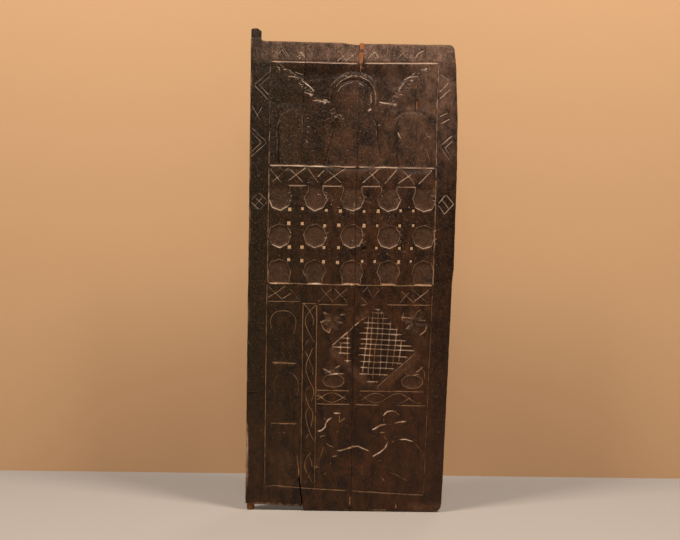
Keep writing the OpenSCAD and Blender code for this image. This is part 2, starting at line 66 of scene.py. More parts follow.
CHIPPED_LOW = (74, 1222)
CHIPPED_HIGH = (662, 1578)
BARE_CORNERS = (((684, 4), 20), ((664, -2), 10), ((12, 16), 22), ((32, 14), 10))

Place = tuple[float, float]
Places = Sequence[float] | Sequence[Place]
Array = np.ndarray
Object = bpy.types.Object
Socket = bpy.types.NodeSocket
Colour = tuple[float, float, float, float]
Inputs = dict[int | str, object]


def hashed(i: Array | int, j: Array | int, seed: int) -> Array:
    """Gives each pair of whole numbers its own fixed value from 0 to 1.

    Args:
        i: First whole numbers.
        j: Second whole numbers.
        seed: Which set of values to take.

    Returns:
        One value for each pair.
    """
    first, second, third, spread = PRIMES
    n = np.asarray(i, np.int64) * first ^ np.asarray(j, np.int64) * second ^ seed * third
    n = (n ^ (n >> 13)) * spread & 0x7FFFFFFF
    return ((n ^ (n >> 16)) & 0xFFFF) / 65535.0


def ripple(p: Array, size: float, seed: int) -> Array:
    """Smooth noise from -1 to 1 over flat places.

    Args:
        p: Places, one a row.
        size: Distance between its hills.
        seed: Which noise to take.

    Returns:
        One value for each place.
    """
    q = p / size
    c = np.floor(q).astype(np.int64)
    f = q - c
    f = f * f * (3 - 2 * f)
    low = hashed(c[:, 0], c[:, 1], seed) * (1 - f[:, 0]) + hashed(c[:, 0] + 1, c[:, 1], seed) * f[:, 0]
    high = hashed(c[:, 0], c[:, 1] + 1, seed) * (1 - f[:, 0]) + hashed(
        c[:, 0] + 1, c[:, 1] + 1, seed) * f[:, 0]
    return 2 * (low * (1 - f[:, 1]) + high * f[:, 1]) - 1


def scoops(p: Array, wide: float, tall: float, seed: int) -> Array:
    """Pattern of a hewn surface: 0 in the hollow of each stroke, up to 1 on the ridges between strokes.

    Args:
        p: Places, one a row.
        wide: Width of a stroke.
        tall: Length of a stroke.
        seed: Which pattern to take.

    Returns:
        One value for each place.
    """
    q = p / (wide, tall)
    c = np.floor(q).astype(np.int64)
    best = np.full(len(p), 9.0)
    for di in (-1, 0, 1):
        for dj in (-1, 0, 1):
            cx, cz = c[:, 0] + di, c[:, 1] + dj
            ox = cx + 0.15 + 0.7 * hashed(cx, cz, seed)
            oz = cz + 0.15 + 0.7 * hashed(cx, cz, seed + 1)
            best = np.minimum(best, (q[:, 0] - ox) ** 2 + (q[:, 1] - oz) ** 2)
    return np.minimum(best * 1.6, 1)


def wandered(p: Array, far: float = 0.7) -> Array:
    """Moves places a little, as a hand-held chisel strays from a drawn line."""
    return p + far * np.column_stack((ripple(p, 21, 3), ripple(p, 21, 4)))


def rounded(points: Array, closed: bool, passes: int = 2) -> Array:
    """Cuts the corners off a line until it runs as a curve.

    Args:
        points: The line's points.
        closed: Whether it runs back to its start.
        passes: How often each corner is cut.

    Returns:
        The points of the curve.
    """
    for _ in range(passes):
        a = points if closed else points[:-1]
        b = np.roll(points, -1, 0) if closed else points[1:]
        cut = np.stack((0.75 * a + 0.25 * b, 0.25 * a + 0.75 * b), 1).reshape(-1, 2)
        points = cut if closed else np.vstack((points[:1], cut, points[-1:]))
    return points


def stepped(points: Array, step: float, closed: bool) -> Array:
    """Divides each stretch of a line into steps of about one length, keeping its corners.

    Args:
        points: The line's points.
        step: The wanted distance between points.
        closed: Whether it runs back to its start.

    Returns:
        The points of the divided line.
    """
    ends = np.roll(points, -1, 0) if closed else points[1:]
    out = []
    for a, b in zip(points, ends):
        count = max(1, round(float(np.linalg.norm(b - a)) / step))
        out.append(a + (b - a) * (np.arange(count) / count)[:, None])
    if not closed:
        out.append(points[-1:])
    return np.vstack(out)


def sideways(line: Array, closed: bool) -> Array:
    """Directions to the left of a line at each of its points."""
    if closed:
        along = np.roll(line, -1, 0) - np.roll(line, 1, 0)
    else:
        along = np.gradient(line, axis=0)
    along = along / np.maximum(np.linalg.norm(along, axis=1), 1e-9)[:, None]
    return np.column_stack((-along[:, 1], along[:, 0]))


def columns(count: int, *values: object) -> Array:
    """Values side by side, one column each. A single value fills its column."""
    return np.column_stack([np.broadcast_to(v, count) for v in values])


def anticlockwise(loop: Array) -> Array:
    """The same loop, running so that its inside lies to its left."""
    nxt = np.roll(loop, -1, 0)
    area = (loop[:, 0] * nxt[:, 1] - nxt[:, 0] * loop[:, 1]).sum()
    return loop if area > 0 else loop[::-1]


def nearest(p: Array, line: Array, closed: bool) -> tuple[Array, Array]:
    """Distance of each place from a line, and how far along the line its nearest point is.

    Args:
        p: Places, one a row.
        line: The line's points.
        closed: Whether it runs back to its start.

    Returns:
        The distances, and the lengths along the line.
    """
    ends = np.roll(line, -1, 0) if closed else line[1:]
    starts = line if closed else line[:-1]
    d = ends - starts
    long = np.maximum(np.linalg.norm(d, axis=1), 1e-9)
    run = np.concatenate(([0], np.cumsum(long)))[:-1]
    away, along = np.empty(len(p)), np.empty(len(p))
    for lo in range(0, len(p), CHUNK):
        q = p[lo:lo + CHUNK, None] - starts
        t = np.clip((q * d).sum(2) / long ** 2, 0, 1)
        gap = np.linalg.norm(q - t[..., None] * d, axis=2)
        k = gap.argmin(1)
        rows = np.arange(len(k))
        away[lo:lo + CHUNK] = gap[rows, k]
        along[lo:lo + CHUNK] = run[k] + t[rows, k] * long[k]
    return away, along


def inside(p: Array, loop: Array) -> Array:
    """Whether each place lies inside a loop."""
    a, b = loop, np.roll(loop, -1, 0)
    out = np.zeros(len(p), bool)
    for lo in range(0, len(p), CHUNK):
        x, z = p[lo:lo + CHUNK, :1], p[lo:lo + CHUNK, 1:]
        crosses = (a[:, 1] > z) != (b[:, 1] > z)
        at = a[:, 0] + (z - a[:, 1]) * (b[:, 0] - a[:, 0]) / np.where(
            a[:, 1] == b[:, 1], 1, b[:, 1] - a[:, 1])
        out[lo:lo + CHUNK] = (crosses & (x < at)).sum(1) % 2 == 1
    return out


def near(p: Array, line: Array, reach: float) -> Array:
    """Numbers of the places in the box of a line, widened by a reach."""
    low, high = line.min(0) - reach, line.max(0) + reach
    return np.nonzero(((p > low) & (p < high)).all(1))[0]


def placed(points: Places) -> Array:
    """Points as rows, from pairs or from a flat run of x, z, x, z."""
    return np.array(points, float).reshape(-1, 2)


def drawn(points: Places, curve: bool, closed: bool = False) -> Array:
    """A line or loop as a hand-held chisel follows it, in short steps that stray a little.

    Args:
        points: Its points.
        curve: Whether it runs as a curve.
        closed: Whether it is a loop.

    Returns:
        The points of the steps.
    """
    line = placed(points)
    if closed:
        line = anticlockwise(line)
    if curve:
        line = rounded(line, closed)
    return wandered(stepped(line, STEP, closed))


def length(line: Array) -> float:
    """Length of an open line."""
    return float(np.linalg.norm(np.diff(line, axis=0), axis=1).sum())


def looped(*rings: Array) -> list[Array]:
    """Rings as lines that end where they begin."""
    return [np.vstack((r, r[:1])) for r in rings]


def lip(worn: float, out: Array) -> Array:
    """How far the lip of an edge is rubbed, at distances outside it."""
    return worn * np.exp(-((out - 0.4) / 1.3) ** 2)


@dataclass
class Marks:
    """What the carving does at each place of a face, one value a place."""

    ground: Array
    line: Array
    lift: Array
    dust: Array
    worn: Array
    dark: Array
    raw: Array
    brown: Array

    @classmethod
    def blank(cls, count: int) -> "Marks":
        """An untouched face of that many places."""
        return cls(*(np.zeros(count) for _ in range(8)))

    def strengthen(self, rows: Array, **effect: Array) -> None:
        """Keeps the stronger of what is held and what an effect gives, at some rows."""
        for name, values in effect.items():
            held = getattr(self, name)
            held[rows] = np.maximum(held[rows], values)


class Feature:
    """Something that is cut into, raised on or rubbed onto a face."""

    def guides(self) -> list[Array]:
        """Lines that the mesh needs as edges. A soft form needs none."""
        return []

    def mark(self, p: Array, marks: Marks) -> None:
        """Puts the feature on a face.

        Args:
            p: The face's places.
            marks: What the carving does there, added to in place.
        """
        raise NotImplementedError


@dataclass(frozen=True)
class Traced(Feature):
    """A feature that follows a path, and is felt no further from it than its reach."""

    points: Places

    def path(self) -> Array:
        """The path in short steps."""
        return placed(self.points)

    def reach(self) -> float:
        """How far outside its path it is felt."""
        return 4.0

    def effect(self, p: Array, path: Array) -> dict[str, Array]:
        """What it does at places near it.

        Args:
            p: The places.
            path: Its path.

        Returns:
            New values for the marks of these names.
        """
        raise NotImplementedError

    def mark(self, p: Array, marks: Marks) -> None:
        """Puts the feature on a face.

        Args:
            p: The face's places.
            marks: What the carving does there, added to in place.
        """
        path = self.path()
        rows = near(p, path, self.reach())
        if len(rows):
            marks.strengthen(rows, **self.effect(p[rows], path))


@dataclass(frozen=True)
class Stroke(Traced):
    """A feature that runs along a line."""

    width: float = 4.6

    def reach(self) -> float:
        """How far outside its path it is felt."""
        return self.width


@dataclass(frozen=True)
class Cut(Stroke):
    """A chiselled line: a V groove that tapers out at its ends, or an opened check in the wood."""

    depth: float = 2.3
    dust: float = 0.6
    dark: float = 0.0
    raw: float = 0.0
    curve: bool = False

    def path(self) -> Array:
        """The groove's middle."""
        return drawn(self.points, self.curve)

    def half_width(self, line: Array, along: Array) -> Array:
        """Half the groove's width at lengths along it."""
        ends = np.minimum(along, length(line) - along) / (1.6 * self.width)
        sway = ripple(np.column_stack((along + 40 * line[0, 0], along * 0 + line[0, 1])), 17, 8)
        return self.width / 2 * np.sqrt(np.clip(ends, 0.02, 1)) * (1 + 0.22 * sway)

    def guides(self) -> list[Array]:
        """The groove's middle and both lips."""
        line = self.path()
        along = np.concatenate(([0], np.cumsum(np.linalg.norm(np.diff(line, axis=0), axis=1))))
        half = self.half_width(line, along)[:, None] * sideways(line, False)
        return [line[1:-1], (line + half)[1:-1], (line - half)[1:-1]]

    def effect(self, p: Array, path: Array) -> dict[str, Array]:
        """The groove's depth, and the dust, dark or bare wood in it."""
        away, along = nearest(p, path, False)
        half = self.half_width(path, along)
        share = np.clip(1 - away / half, 0, 1)
        full = np.minimum(half / (self.width / 2), 1.2)
        patchy = np.clip(0.88 + 0.36 * ripple(p, 30, 15) + 0.2 * ripple(p, 9, 16), 0.35, 1.1)
        shown = np.minimum(share * 2, 1) * np.minimum(full, 1)
        return {
            "line": share * self.depth * full, "dust": self.dust * shown * patchy, "dark": self.dark * shown,
            "raw": self.raw * shown}


@dataclass(frozen=True)
class Sink(Traced):
    """A sunk shape with sloped walls. Its floor may fall gently below a given height."""

    depth: float
    wall: float = 4.0
    worn: float = 0.3
    top: float | None = None
    soft: float = 20.0
    curve: bool = True
    spine: Places = ()
    brown: float = 0.0

    def path(self) -> Array:
        """The shape's upper edge."""
        return drawn(self.points, self.curve, True)

    def guides(self) -> list[Array]:
        """The edge, a line just outside it, and the wall's foot or the shape's spine."""
        loop = self.path()
        n = sideways(loop, True)
        if self.spine:
            return [*looped(loop, loop - 1.8 * n), stepped(placed(self.spine), STEP, False)]
        return looped(loop, loop - 1.8 * n, loop + self.wall * n)

    def effect(self, p: Array, path: Array) -> dict[str, Array]:
        """The sunk ground, its rubbed lip and its browner floor."""
        away, _ = nearest(p, path, True)
        within = np.where(inside(p, path), away, -away)
        share = np.clip(within / self.wall, 0, 1)
        if self.top is not None:
            fall = np.clip((self.top - p[:, 1]) / self.soft, 0, 1)
            share = share * fall * fall * (3 - 2 * fall)
        return {
            "ground": self.depth * share, "worn": lip(self.worn, -within),
            "brown": self.brown * np.clip(within / 3, 0, 1)}


@dataclass(frozen=True)
class Moat(Traced):
    """A valley scooped round a shape that is left standing."""

    depth: float
    wall: float = 3.6
    spread: float = 26.0
    worn: float = 0.2

    def path(self) -> Array:
        """The standing shape's edge."""
        return drawn(self.points, True, True)

    def reach(self) -> float:
        """How far outside its path it is felt."""
        return self.spread

    def guides(self) -> list[Array]:
        """The edge, a line just inside it, and the wall's foot."""
        loop = self.path()
        n = sideways(loop, True)
        return looped(loop, loop + 1.8 * n, loop - self.wall * n)

    def effect(self, p: Array, path: Array) -> dict[str, Array]:
        """The valley and the shape's rubbed lip."""
        away, _ = nearest(p, path, True)
        out = np.where(inside(p, path), -away, away)
        back = np.clip((out - self.wall) / (self.spread - self.wall), 0, 1)
        deep = np.clip(out / self.wall, 0, 1) * (0.5 + 0.5 * np.cos(math.pi * back))
        return {"ground": self.depth * deep, "worn": lip(self.worn, out)}


@dataclass(frozen=True)
class Chips(Feature):
    """Small crescents chopped out beside a line, where the ground was hacked away."""

    points: Places
    count: int
    spread: float
    depth: float
    seed: int
    long: float = 6.5
    dust: float = 0.3

    def struck(self) -> list[tuple[Array, float, float, float, float]]:
        """Each chip's middle, turn, half length, half width and depth."""
        rng = np.random.default_rng(self.seed)
        line = stepped(placed(self.points), 1.0, False)
        out = []
        for _ in range(self.count):
            at = line[rng.integers(len(line))] + rng.normal(0, self.spread, 2)
            turn, long = rng.uniform(-0.7, 0.7), self.long * rng.uniform(0.6, 1.5)
            out.append((at, turn, long, long * rng.uniform(0.35, 0.6), self.depth * rng.uniform(0.5, 1.3)))
        return out

    def guides(self) -> list[Array]:
        """Each chip's edge and the valley near its foot."""
        out = []
        a = np.arange(9) * math.pi / 4
        for at, turn, long, wide, _ in self.struck():
            ring = np.column_stack((long * np.cos(a), wide * np.sin(a)))
            valley = np.array(((-0.55 * long, -0.3 * wide), (0, -0.4 * wide), (0.55 * long, -0.3 * wide)))
            c, s = math.cos(turn), math.sin(turn)
            out += [
                at + np.column_stack((q[:, 0] * c - q[:, 1] * s,
                q[:, 0] * s + q[:, 1] * c)) for q in (ring, valley)]
        return out

    def mark(self, p: Array, marks: Marks) -> None:
        """Chops the chips out of a face.

        Args:
            p: The face's places.
            marks: What the carving does there, added to in place.
        """
        for at, turn, long, wide, deep in self.struck():
            rows = near(p, at[None], long * 1.5)
            d = p[rows] - at
            u = (d[:, 0] * math.cos(turn) + d[:, 1] * math.sin(turn)) / long
            v = (d[:, 1] * math.cos(turn) - d[:, 0] * math.sin(turn)) / wide
            full = np.clip(1 - (u * u + v * v), 0, 1)
            # the pale edge on each chip's lower side is dust and painted highlight
            edge = np.minimum(full * np.clip(-v * 2.2, 0, 1) * 2, 1)
            marks.strengthen(rows, line=deep * full * np.clip(0.65 - 0.6 * v, 0.15, 1), dust=self.dust * edge)


@dataclass(frozen=True)
class Ridge(Stroke):
    """A rounded raised line."""

    height: float = 1.8
    worn: float = 0.15

    def path(self) -> Array:
        """The ridge's middle."""
        return drawn(self.points, True)

    def guides(self) -> list[Array]:
        """The ridge's crest and both feet."""
        line = self.path()
        n = sideways(line, False) * self.width / 2
        return [line, line + n, line - n]

    def effect(self, p: Array, path: Array) -> dict[str, Array]:
        """The ridge's height, and how far its crest is rubbed."""
        away, along = nearest(p, path, False)
        ends = np.clip(np.minimum(along, length(path) - along) / self.width + 0.15, 0, 1)
        share = np.clip(1 - (2 * away / self.width) ** 2, 0, 1) * ends
        return {"lift": self.height * share, "worn": self.worn * share ** 3}


@dataclass(frozen=True)
class Stain(Stroke):
    """A soft-edged streak of browner wax or of darker colour, with no shape of its own; the darker streak
    under the head line is painted shade.
    """

    brown: float = 0.0
    dark: float = 0.0

    def effect(self, p: Array, path: Array) -> dict[str, Array]:
        """The streak's brown and dark."""
        away, _ = nearest(p, path, False)
        share = np.clip(2.5 - 4 * away / self.width, 0, 1) * (0.85 + 0.3 * ripple(p, 26, 17))
        return {"brown": self.brown * share, "dark": self.dark * share}


@dataclass(frozen=True)
class Hollow(Feature):
    """A soft hollow with no edge."""

    middle: Place
    half: Place
    depth: float

    def mark(self, p: Array, marks: Marks) -> None:
        """Hollows a face."""
        q = (p - self.middle) / self.half
        marks.lift -= self.depth * np.exp(-(q * q).sum(1))


def cuts(width: float, depth: float, dust: float, *runs: Places, **more: float) -> list[Feature]:
    """Chiselled lines that share their width, depth and dust, and more fields of Cut where they are given."""
    return [Cut(run, width, depth, dust, **more) for run in runs]


@dataclass(frozen=True)
class KeyholeField:
    """The upper field: three keyhole panels and an arched ring left standing over scooped ground."""

    sill: float = 1216.0
    head: float = 1582.0
    left_x: float = 71.0
    right_x: float = 666.0
    left_key: Places = (
        100, 1212, 95, 1250, 98, 1300, 93, 1330, 96, 1352, 106, 1387, 126, 1408, 152, 1416, 180, 1406, 197,
        1388, 205, 1362, 203, 1332, 196, 1310, 208, 1290, 214, 1250, 218, 1212)
    right_key: Places = (
        521, 1212, 514, 1245, 519, 1282, 531, 1310, 519, 1336, 514, 1370, 528, 1397, 558, 1406, 602, 1404,
        628, 1390, 642, 1352, 631, 1322, 619, 1300, 634, 1262, 644, 1212)
    bell: Places = (
        257, 1212, 265, 1260, 280, 1300, 290, 1330, 304, 1354, 326, 1380, 314, 1404, 303, 1428, 300, 1458,
        306, 1486, 320, 1504, 342, 1514, 366, 1518, 396, 1514, 418, 1500, 430, 1477, 433, 1448, 427, 1420,
        423, 1400, 440, 1378, 450, 1350, 448, 1292, 460, 1260, 471, 1212)
    ring: Places = (
        262, 1372, 281, 1398, 288, 1432, 290, 1468, 301, 1500, 322, 1522, 345, 1532, 368, 1535, 396, 1531,
        421, 1518, 438, 1494, 446, 1464, 444, 1428)
    vault: Places = (
        74, 1577, 76, 1571, 100, 1562, 128, 1557, 152, 1541, 186, 1521, 204, 1500, 228, 1474, 224, 1452, 270,
        1449, 283, 1441, 278, 1466, 280, 1490, 300, 1517, 330, 1542, 366, 1550, 420, 1538, 446, 1506, 457,
        1462, 455, 1441, 512, 1441, 519, 1468, 526, 1490, 541, 1515, 573, 1538, 600, 1560, 632, 1564, 655,
        1577)

    def features(self) -> list[Feature]:
        """All that is carved in the field."""
        field_edge = (
            (self.left_x, self.sill), (658, self.sill - 2), (self.right_x, self.head),
            (self.left_x, self.head))
        left_spandrel = (92, 1566, 120, 1558, 150, 1540, 186, 1520, 206, 1496, 226, 1472)
        right_spandrel = (512, 1446, 522, 1478, 532, 1500, 556, 1524, 590, 1552, 632, 1568)
        return [
            Sink(field_edge, 1.6, wall=5.0, worn=0.2, top=self.head, soft=30, curve=False),
            Sink(self.vault, 6.2, wall=4.6, worn=0.2, top=self.head - 2, soft=46),
            Moat(self.left_key, 2.0, spread=20, worn=0.1),
            Moat(self.right_key, 2.8, spread=26, worn=0.1),
            Moat(self.bell, 3.2, spread=15, worn=0.1),
            Ridge(self.ring, 27, 1.8),
            Chips(left_spandrel, 26, 6, 2.0, 41, 5.0, 0.34),
            Chips((176, 1510, 205, 1478, 228, 1466), 14, 6, 2.0, 42, 5.5, 0.34),
            Chips((222, 1450, 250, 1448, 286, 1440), 20, 5, 2.0, 43, 4.5, 0.36),
            Chips(right_spandrel, 20, 6, 2.0, 44, 5.0, 0.34),
            Chips((458, 1444, 484, 1440, 520, 1440), 12, 3, 2.0, 45, 4.5, 0.3),
            Chips((204, 1382, 206, 1332), 8, 4, 1.6, 46, 4.0, 0.4),
            Chips((214, 1290, 216, 1256), 7, 5, 1.4, 53, 4.0, 0.2),
            # painted glints: a few bright chips beside the ring
            Chips((424, 1420, 427, 1410), 4, 3, 2.0, 54, dust=0.9),
            Chips((330, 1530, 372, 1542, 410, 1532), 14, 5, 1.4, 48, 4.5, 0.36),
            Chips((286, 1420, 312, 1396, 330, 1380), 12, 6, 1.6, 49),
            Chips((628, 1340, 634, 1320), 6, 4, 1.8, 50, 4.0, 0.4),
            Chips((80, 1450, 640, 1430), 40, 26, 1.2, 51, 5.0, 0.12),
            Chips((90, 1300, 650, 1290), 60, 46, 1.0, 52, 4.5, 0.12),
            Ridge((300, 1405, 276, 1388, 254, 1364), 12, 1.8),
            Ridge((321, 1399, 300, 1382, 286, 1364), 10, 1.4),
            Ridge((548, 1512, 562, 1524, 576, 1514, 566, 1502, 552, 1508), 7, 1.8),
            Hollow((572, 1430), (58, 20), 2.6),
            Hollow((150, 1443), (70, 26), 2.0),
            Hollow((236, 1320), (22, 60), 1.2),
            Stain((320, 1300, 350, 1240, 430, 1240), 110, brown=0.4),
            Stain((575, 1380, 570, 1230), 80, brown=0.35),
            Stain((150, 1380, 150, 1230), 80, brown=0.25),
            Stain((365, 1480, 365, 1400), 90, brown=0.25),
            # painted shade just below the head line, where the ground slopes away
            Stain((230, 1570, 300, 1560), 60, dark=0.25),
            # painted shadow: dark grooves beside the keyhole panels' edges
            *cuts(
                4.2, 2.6, 0, (108, 1216, 103, 1262, 106, 1304, 101, 1340, 107, 1372), (266, 1216, 275, 1262,
                291, 1312, 302, 1350, 318, 1374), (530, 1216, 523, 1250, 528, 1282),
                (526, 1340, 522, 1368, 532, 1390), (452, 1350, 454, 1296), dark=0.5),
            *cuts(
                3, 0.8, 0.26, (98, 1252, 100, 1300, 95, 1334, 99, 1360, 112, 1396, 140, 1414),
                (304, 1402, 285, 1388, 262, 1372), (524, 1338, 538, 1314, 530, 1290, 521, 1262),
                (519, 1376, 531, 1398, 552, 1406), (430, 1390, 448, 1362, 452, 1300, 462, 1262, 472, 1224),
                (186, 1400, 186, 1310), (618, 1302, 634, 1262, 643, 1222)),
            *cuts(
                4, 1.6, 1.0, (100, 1562, 106, 1551), (116, 1558, 131, 1557),
                (131, 1533, 152, 1532, 176, 1526), (161, 1547, 188, 1539), (172, 1508, 184, 1502),
                (180, 1522, 200, 1506, 226, 1485), (192, 1477, 226, 1467),
                (222, 1448, 240, 1450, 262, 1444, 285, 1443), (526, 1484, 534, 1500, 546, 1515),
                (541, 1524, 564, 1534, 598, 1540), (603, 1561, 628, 1562), (456, 1445, 484, 1440, 522, 1439),
                (528, 1472, 542, 1473), (198, 1308, 208, 1298), (452, 1364, 462, 1363),
                (525, 1340, 537, 1316)),
            *cuts(
                3.4, 1.1, 0.55, (304, 1496, 322, 1518, 345, 1530, 366, 1537, 392, 1533, 420, 1520, 438, 1498,
                446, 1470, 446, 1436), (310, 1478, 322, 1498, 342, 1510, 366, 1515), (384, 1512, 404, 1502),
                (428, 1480, 430, 1440)),
            *cuts(6.5, 2.4, 1.0, (72, 1585, 220, 1583, 381, 1581), (403, 1582, 540, 1584, 668, 1585)),
            *cuts(6.5, 2.2, 1.0, (72, 1217, 200, 1216, 383, 1214), (389, 1214, 520, 1214, 660, 1213))
        ]


@dataclass(frozen=True)
class DiscField:
    """The pierced field: three rows of five sunk discs, the outer rows open to their bands."""

    columns: tuple[float, ...] = (110, 237.3, 367.3, 497.6, 622.6)
    rows: tuple[float, ...] = (842, 968, 1100)
    radius: float = 40.5
    low_z: float = 797.0
    high_z: float = 1146.0
    necks: tuple[float, ...] = (72, 52, 66, 55, 66)
    left_x: float = 72.0

    def disc(self, x: float, z: float, neck: float, end: float | None, seed: int) -> list[Feature]:
        """One sunk disc, cut with short straight strokes.

        Args:
            x: Its middle across.
            z: Its middle up.
            neck: Width of its neck.
            end: Height of the band that it opens to, or None.
            seed: Which unevenness to take.

        Returns:
            The sunk shape, its rim and a cut along the rim's lower part, pale with dust and painted
            highlight.
        """
        right_x = 657 + (z - 800) / 55
        turn = 0.3 * (hashed(seed, 5, 2) - 0.5)
        points = []
        for k in range(8):
            a = 2 * math.pi * (k + turn) / 8
            r = self.radius * (1.02 + 0.05 * (hashed(k, seed, 6) - 0.3))
            points.append((x + r * math.cos(a), z + 1.02 * r * math.sin(a)))
        lit_low_rim = [
            (min(max(px, self.left_x), right_x), pz) for px, pz in points[4:] + points[:1] if pz < z - 4]
        if end is not None:
            up = 1 if end > z else -1
            kept = [p for p in points if (p[1] - z) * up < self.radius * 0.55]
            kept.sort(key=lambda p: math.atan2(p[0] - x, -(p[1] - z) * up))
            points = [
                (x - neck / 2, end), (x - neck / 2, z + up * 0.62 * self.radius), *kept,
                (x + neck / 2, z + up * 0.62 * self.radius), (x + neck / 2, end)]
        points = [(min(max(px, self.left_x), right_x), pz) for px, pz in points]
        top = z + self.radius if end is None or end < z else end
        rim = points if end is not None else points + points[:1]
        seen, bright = hashed(seed, 9, 3), hashed(seed, 14, 3)
        out: list[Feature] = [
            Sink(points, 4.6, wall=6.0, worn=0.3, top=top + 2, soft=12, curve=False, brown=0.6 + 0.4 * seen),
            Cut(rim, 2.8, 0.7, dust=0.3 + 0.24 * seen)]
        # the lower rim's pale colour is dust and painted highlight, where its wall faces up
        if end is None or end > z:
            out.append(Cut(lit_low_rim, 4.4, 1.5, dust=0.5 + 0.55 * bright))
        return out

    def features(self) -> list[Feature]:
        """All that is carved in the field."""
        out: list[Feature] = []
        for i, x in enumerate(self.columns):
            for j, z in enumerate(self.rows):
                end = (self.low_z, None, self.high_z)[j]
                out += self.disc(x, z, self.necks[i], end, 7 * i + j)
            out.append(
                Cut(((x - self.necks[i] / 2 + 2, 800), (x + self.necks[i] / 2 - 2, 799)), 8, 3.6, dust=0.95))
            out.append(Chips(((x + 32, 1125), (x + 38, 1085)), 5, 4, 1.4, 60 + i))
            out.append(Chips(((x + 36, 1000), (x + 40, 940)), 6, 4, 1.4, 70 + i))
        out += cuts(5.2, 2.2, 0.85, (71, 801, 160, 799, 330, 797, 379, 796), (386, 796, 520, 796, 655, 797))
        out += cuts(
            6, 2.4, 0.85, (138, 1146, 208, 1146), (260, 1146, 334, 1145), (398, 1145, 463, 1146),
            (523, 1145, 595, 1145))
        out.append(Cut((494, 968, 502, 969), 4, 1.5))
        out.append(Chips((90, 1030, 640, 1030), 26, 12, 1.0, 90, 4.5, 0.15))
        out.append(Chips((90, 905, 640, 905), 26, 14, 1.0, 91, 4.5, 0.15))
        out.append(Chips((230, 1090, 640, 1080), 26, 26, 0.8, 92, 2.4, 0.75))
        out.append(Chips((240, 940, 640, 930), 16, 30, 0.8, 93, 2.4, 0.6))
        out.append(Chips((372, 1110, 372, 880), 14, 9, 0.8, 94, 2.4, 0.75))
        return out


@dataclass(frozen=True)
class Bands:
    """The two bands of crosses and the head border's zigzags."""

    def features(self) -> list[Feature]:
        """All that is cut in the bands."""
        faint = cuts(
            3.6, 1.5, 0.56, (75, 1205, 115, 1155), (80, 1155, 140, 1210), (145, 1205, 195, 1155),
            (205, 1212, 247, 1155), (205, 1155, 220, 1160), (280, 1200, 330, 1155), (425, 1200, 465, 1155),
            (545, 1205, 590, 1155), (72, 790, 125, 740), (148, 782, 190, 735), (258, 785, 305, 735),
            (250, 735, 300, 785), (305, 785, 355, 735), (305, 740, 355, 785), (408, 770, 425, 790),
            (425, 785, 445, 750), (400, 755, 430, 725), (445, 750, 470, 785), (540, 780, 590, 735),
            (540, 735, 575, 775), (580, 785, 640, 735))
        strong = cuts(
            4.2, 1.8, 1.0, (137, 1160, 200, 1210), (245, 1180, 268, 1203), (265, 1155, 345, 1212),
            (400, 1155, 462, 1210), (480, 1155, 527, 1210), (525, 1155, 577, 1192), (600, 1155, 648, 1204),
            (70, 745, 135, 790), (125, 745, 158, 766), (590, 740, 645, 785))
        head = cuts(
            3.6, 2.2, 0.56, (79, 1598, 110, 1641), (110, 1641, 141, 1598), (88, 1599, 110, 1628),
            (110, 1628, 130, 1602), (166, 1600, 196, 1636), (170, 1634, 196, 1600), (168, 1617, 190, 1618),
            (205, 1635, 221, 1604), (292, 1592, 312, 1628), (312, 1628, 336, 1594), (318, 1596, 350, 1629),
            (336, 1594, 366, 1626), (350, 1629, 372, 1600), (403, 1600, 440, 1636), (408, 1634, 446, 1601),
            (446, 1601, 462, 1622), (520, 1602, 556, 1634), (528, 1634, 560, 1600), (560, 1600, 586, 1628))
        sharp = cuts(
            4.6, 2.0, 0.95, (307, 1588, 323, 1604), (333, 1588, 369, 1614), (418, 1600, 440, 1625, 455, 1601),
            (583, 1600, 595, 1620, 617, 1630))
        border = cuts(
            4.6, 2.0, 0.75, (68, 735, 190, 735), (190, 729, 247, 728), (250, 726, 360, 725),
            (400, 726, 421, 726), (498, 727, 650, 728))
        star = [
            Chips((174, 1606, 190, 1612), 8, 5, 1.8, 95, 4.5, 0.9),
            Chips((90, 1620, 640, 1622), 60, 16, 1.0, 96, 4.5, 0.1)]
        return [*faint, *strong, *head, *sharp, *border, *star]


